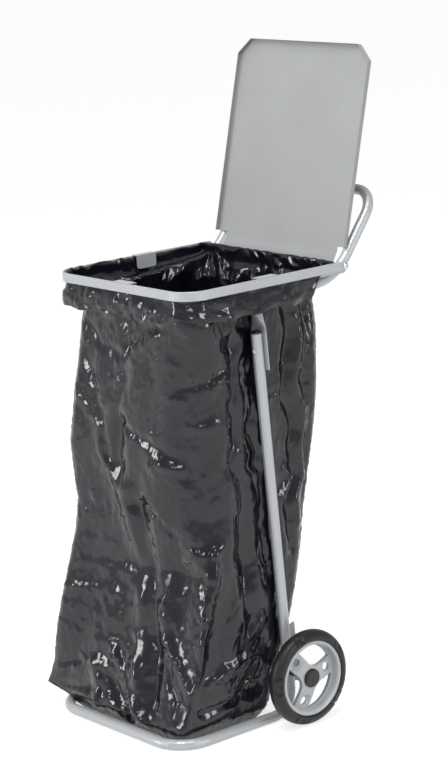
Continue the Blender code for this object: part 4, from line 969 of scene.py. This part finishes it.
def clear_of_frame(wall):
    """Keeps the hanging film off the legs, the floor loop, the axle, the handle's run and the floor."""
    points = wall.reshape(-1, 3).copy()
    for side in (-1, 1):
        x = side * LEG_X
        near = (np.abs(points[:, 1] + 0.0617 * points[:, 2]) < 0.030) & (points[:, 2] < 0.83)
        wide = near & (points[:, 0] * side > LEG_INSIDE)
        points[wide, 0] = side * LEG_INSIDE
        push_from_bar(points, (x, -0.235, 0.011), (x, -0.050, 0.011), CLEAR_OF_TUBE, (0, 0, 1))
        push_from_bar(points, (x, 0.0, 0.011), (x, -0.0513, 0.83), CLEAR_OF_TUBE, (-side, 0, 0))
        beside = (points[:, 2] > 0.855) & (points[:, 2] < 0.893) & (points[:, 1] > -0.060)
        wide = beside & (points[:, 0] * side > TUBE_INSIDE)
        points[wide, 0] = side * TUBE_INSIDE
        drop = (points[:, 2] > 0.80) & (points[:, 2] < 0.875) & (np.abs(points[:, 1] + 0.035) < 0.030)
        wide = drop & (points[:, 0] * side > 0.184)
        points[wide, 0] = side * 0.184
    push_from_bar(points, (-0.136, -0.3052, 0.011), (0.136, -0.3052, 0.011), CLEAR_OF_TUBE, (0, 0, 1))
    push_from_bar(points, (-0.28, -0.0073, 0.1), (0.28, -0.0073, 0.1), CLEAR_OF_AXLE, (0, -1, 0))
    points[:, 2] = np.maximum(points[:, 2], 0.0015)
    return points.reshape(wall.shape)


# Step between rows, frames, bending stiffness, extra width and height, longest move, tie, start of the folds.
CRUMPLES = (
    (4, 40, 1.0, 0.062, 0.030, 0.022, 0.30, 1.0),
    (2, 26, 0.08, 0.034, 0.032, 0.010, 0.36, 0.25),
)


def hanging_film(wall):
    """Crumples the wall on coarse rows first, then on rows twice as fine."""
    moved = np.zeros_like(wall[::4, ::4])
    for step, frames, bending, wide, tall, most, hold, begin in CRUMPLES:
        base = wall[::step, ::step] + moved
        size = base.shape[:2]
        height = base[:, :, 2].ravel()
        tie = np.full(size, hold)
        tie[:2] = 1.0
        tie[2] = 0.7
        tie[-2:] = 1.0
        tie = tie.ravel()
        spots = base.reshape(-1, 3)
        tie[(spots[:, 0] < -0.205) & (spots[:, 1] < -0.240) & (height < 0.30)] = 0.60
        tie[(spots[:, 0] > 0.175) & (spots[:, 1] < -0.150) & (height < 0.36)] = 0.50
        tie[height < 0.035] = 1.0
        low = smooth_step(height, 0.30, 0.08)
        high = smooth_step(height, 0.82, 0.90)
        flat = smooth_step(soft_waves(*size, 60 / step, 40 / step, 12).ravel(), -0.4, 1.0)
        wider = wide * (0.45 + 0.35 * flat + 0.5 * low + 1.0 * high)
        taller = tall * (0.3 + 0.8 * flat + 1.5 * low + 0.8 * high)
        nudge = 0.003 * soft_waves(*size, 36 / step, 14 / step, 3)
        nudge = nudge + 0.0015 * soft_waves(*size, 14 / step, 10 / step, 4)
        trial = tube_mesh("film_trial", base)
        shift = crumple(trial, tie, (wider, taller), frames, bending, nudge.ravel() * begin, most)
        spent = trial.data
        bpy.data.objects.remove(trial)
        bpy.data.meshes.remove(spent)
        moved = twice_as_fine(moved + shift.reshape(base.shape))
    return wall + moved


def film_material():
    """Black film: glossy, finely creased where it was packed or pressed, and dull where it has rubbed."""
    made = bpy.data.materials.new("black_film")
    made.use_nodes = True
    tree = made.node_tree
    shader = tree.nodes["Principled BSDF"]
    shader.inputs["IOR"].default_value = 1.52
    place = node(tree, "TexCoord")
    warp = node(tree, "TexNoise", {"Scale": 5, "Detail": 3})
    bent = node(tree, "VectorMath", {1: (0.10, 0.10, 0.10)}, operation="MULTIPLY_ADD")
    longer = node(tree, "Mapping", {"Scale": (1.0, 1.0, 0.55), "Rotation": (0.5, 0.35, 0.0)})
    ridged = {"Scale": 10, "Detail": 5, "Roughness": 0.62, "Lacunarity": 2.3}
    creases = node(tree, "TexNoise", ridged, noise_type="RIDGED_MULTIFRACTAL")
    fine = node(tree, "TexNoise", {"Scale": 34, "Detail": 3}, noise_type="RIDGED_MULTIFRACTAL")
    where = node(tree, "TexNoise", {"Scale": 4.2, "Detail": 2})
    patch = node(tree, "MapRange", {"From Min": 0.46, "From Max": 0.64, "To Min": 0.10, "To Max": 1.30})
    mask = node(tree, "Attribute", attribute_name="creased")
    worked_in = node(tree, "Math", {1: 1.5}, operation="MULTIPLY_ADD")
    small = node(tree, "Math", operation="MULTIPLY")
    height = node(tree, "Math", {1: 0.9}, operation="MULTIPLY_ADD")
    bump = node(tree, "Bump", {"Strength": 0.85, "Distance": 0.0040})
    tone = node(tree, "MapRange", {"To Min": 0.002, "To Max": 0.009})
    blue = node(tree, "Math", {1: 1.9}, operation="MULTIPLY")
    colour = node(tree, "CombineColor")
    shine = node(tree, "MapRange", {"To Min": 0.05, "To Max": 0.26})
    wired(
        tree,
        (place, "Object", warp, "Vector"), (warp, "Color", bent, 0), (place, "Object", bent, 2),
        (bent, 0, longer, "Vector"), (longer, 0, creases, "Vector"), (bent, 0, fine, "Vector"),
        (place, "Object", where, "Vector"), (where, "Fac", patch, "Value"),
        (fine, "Fac", small, 0), (mask, "Fac", worked_in, 0), (patch, "Result", worked_in, 2),
        (worked_in, 0, small, 1), (creases, "Fac", height, 0), (small, 0, height, 2),
        (height, 0, bump, "Height"), (bump, "Normal", shader, "Normal"),
        (warp, "Fac", tone, "Value"), (tone, "Result", colour, "Red"), (tone, "Result", colour, "Green"),
        (tone, "Result", blue, 0), (blue, 0, colour, "Blue"), (colour, 0, shader, "Base Color"),
        (where, "Fac", shine, "Value"), (shine, "Result", shader, "Roughness"),
    )
    return made


mouth = mouth_rings()
wall = np.stack(wall_rings(mouth[-1]))
wall, creased = fold_film(wall)
wall = hanging_film(wall)
wall = clear_of_frame(wall)
foot = wall[-1]
centre = foot.mean(axis=0)
fan = [centre + (foot - centre) * share for share in FAN_SHARES]
film = np.concatenate((np.stack(mouth[:-1]), wall, np.stack(fan)))
sack = tube_mesh("film_sack", film, [centre])
rows = np.append(np.repeat(np.arange(len(film)), SACK_AROUND), len(film))
spots = points_of(sack.data)
held = CUFF_ROWS + LIP_ROWS + LEDGE_ROWS
tie = np.full(len(rows), 0.36)
tie[rows < CUFF_ROWS] = 0.30
tie[(rows >= CUFF_ROWS - 1) & (rows < held)] = 1.0
tie[(rows >= held) & (rows < held + 4)] = 0.7
tie[rows >= len(film) - len(FAN_SHARES) - 1] = 1.0
cuff = rows < CUFF_ROWS
low = smooth_step(spots[:, 2], 0.30, 0.08)
patch = np.append(smooth_step(soft_waves(len(film), SACK_AROUND, 16, 20, 15), 0.2, 1.2).ravel(), 0)
inside = (rows >= held) * smooth_step(spots[:, 2], 0.850, 0.885)
extra = 0.008 + 0.032 * low + 0.050 * patch + 0.045 * inside
slack = (extra + 0.110 * cuff, extra + 0.120 * cuff)
nudge = 0.0005 * np.random.default_rng(9).normal(0, 1, len(rows))
nudge[:-1] += 0.0018 * cuff[:-1] * soft_waves(len(film), SACK_AROUND, 4, 5, 8).ravel()
shift = crumple(sack, tie, slack, 26, 0.02, nudge, 0.007)
spots = spots + shift
first = held * SACK_AROUND
spots[first:-1] = clear_of_frame(spots[first:-1])
sack.data.vertices.foreach_set("co", spots.ravel())
sack.data.update()
creased = np.maximum(creased, 0.65 * smooth_step(wall[:, :, 2].ravel(), 0.76, 0.87))
on_cuff = np.full(CUFF_ROWS * SACK_AROUND, 0.85)
on_lip = np.full((LIP_ROWS + LEDGE_ROWS - 1) * SACK_AROUND, 0.8)
creased = np.concatenate((on_cuff, on_lip, creased, np.zeros(len(FAN_SHARES) * SACK_AROUND + 1)))
sack.data.attributes.new("creased", "FLOAT", "POINT").data.foreach_set("value", creased.astype(np.float32))
sack.data.shade_smooth()
sack.data.materials.append(film_material())
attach(sack, "stand")
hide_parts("sack")
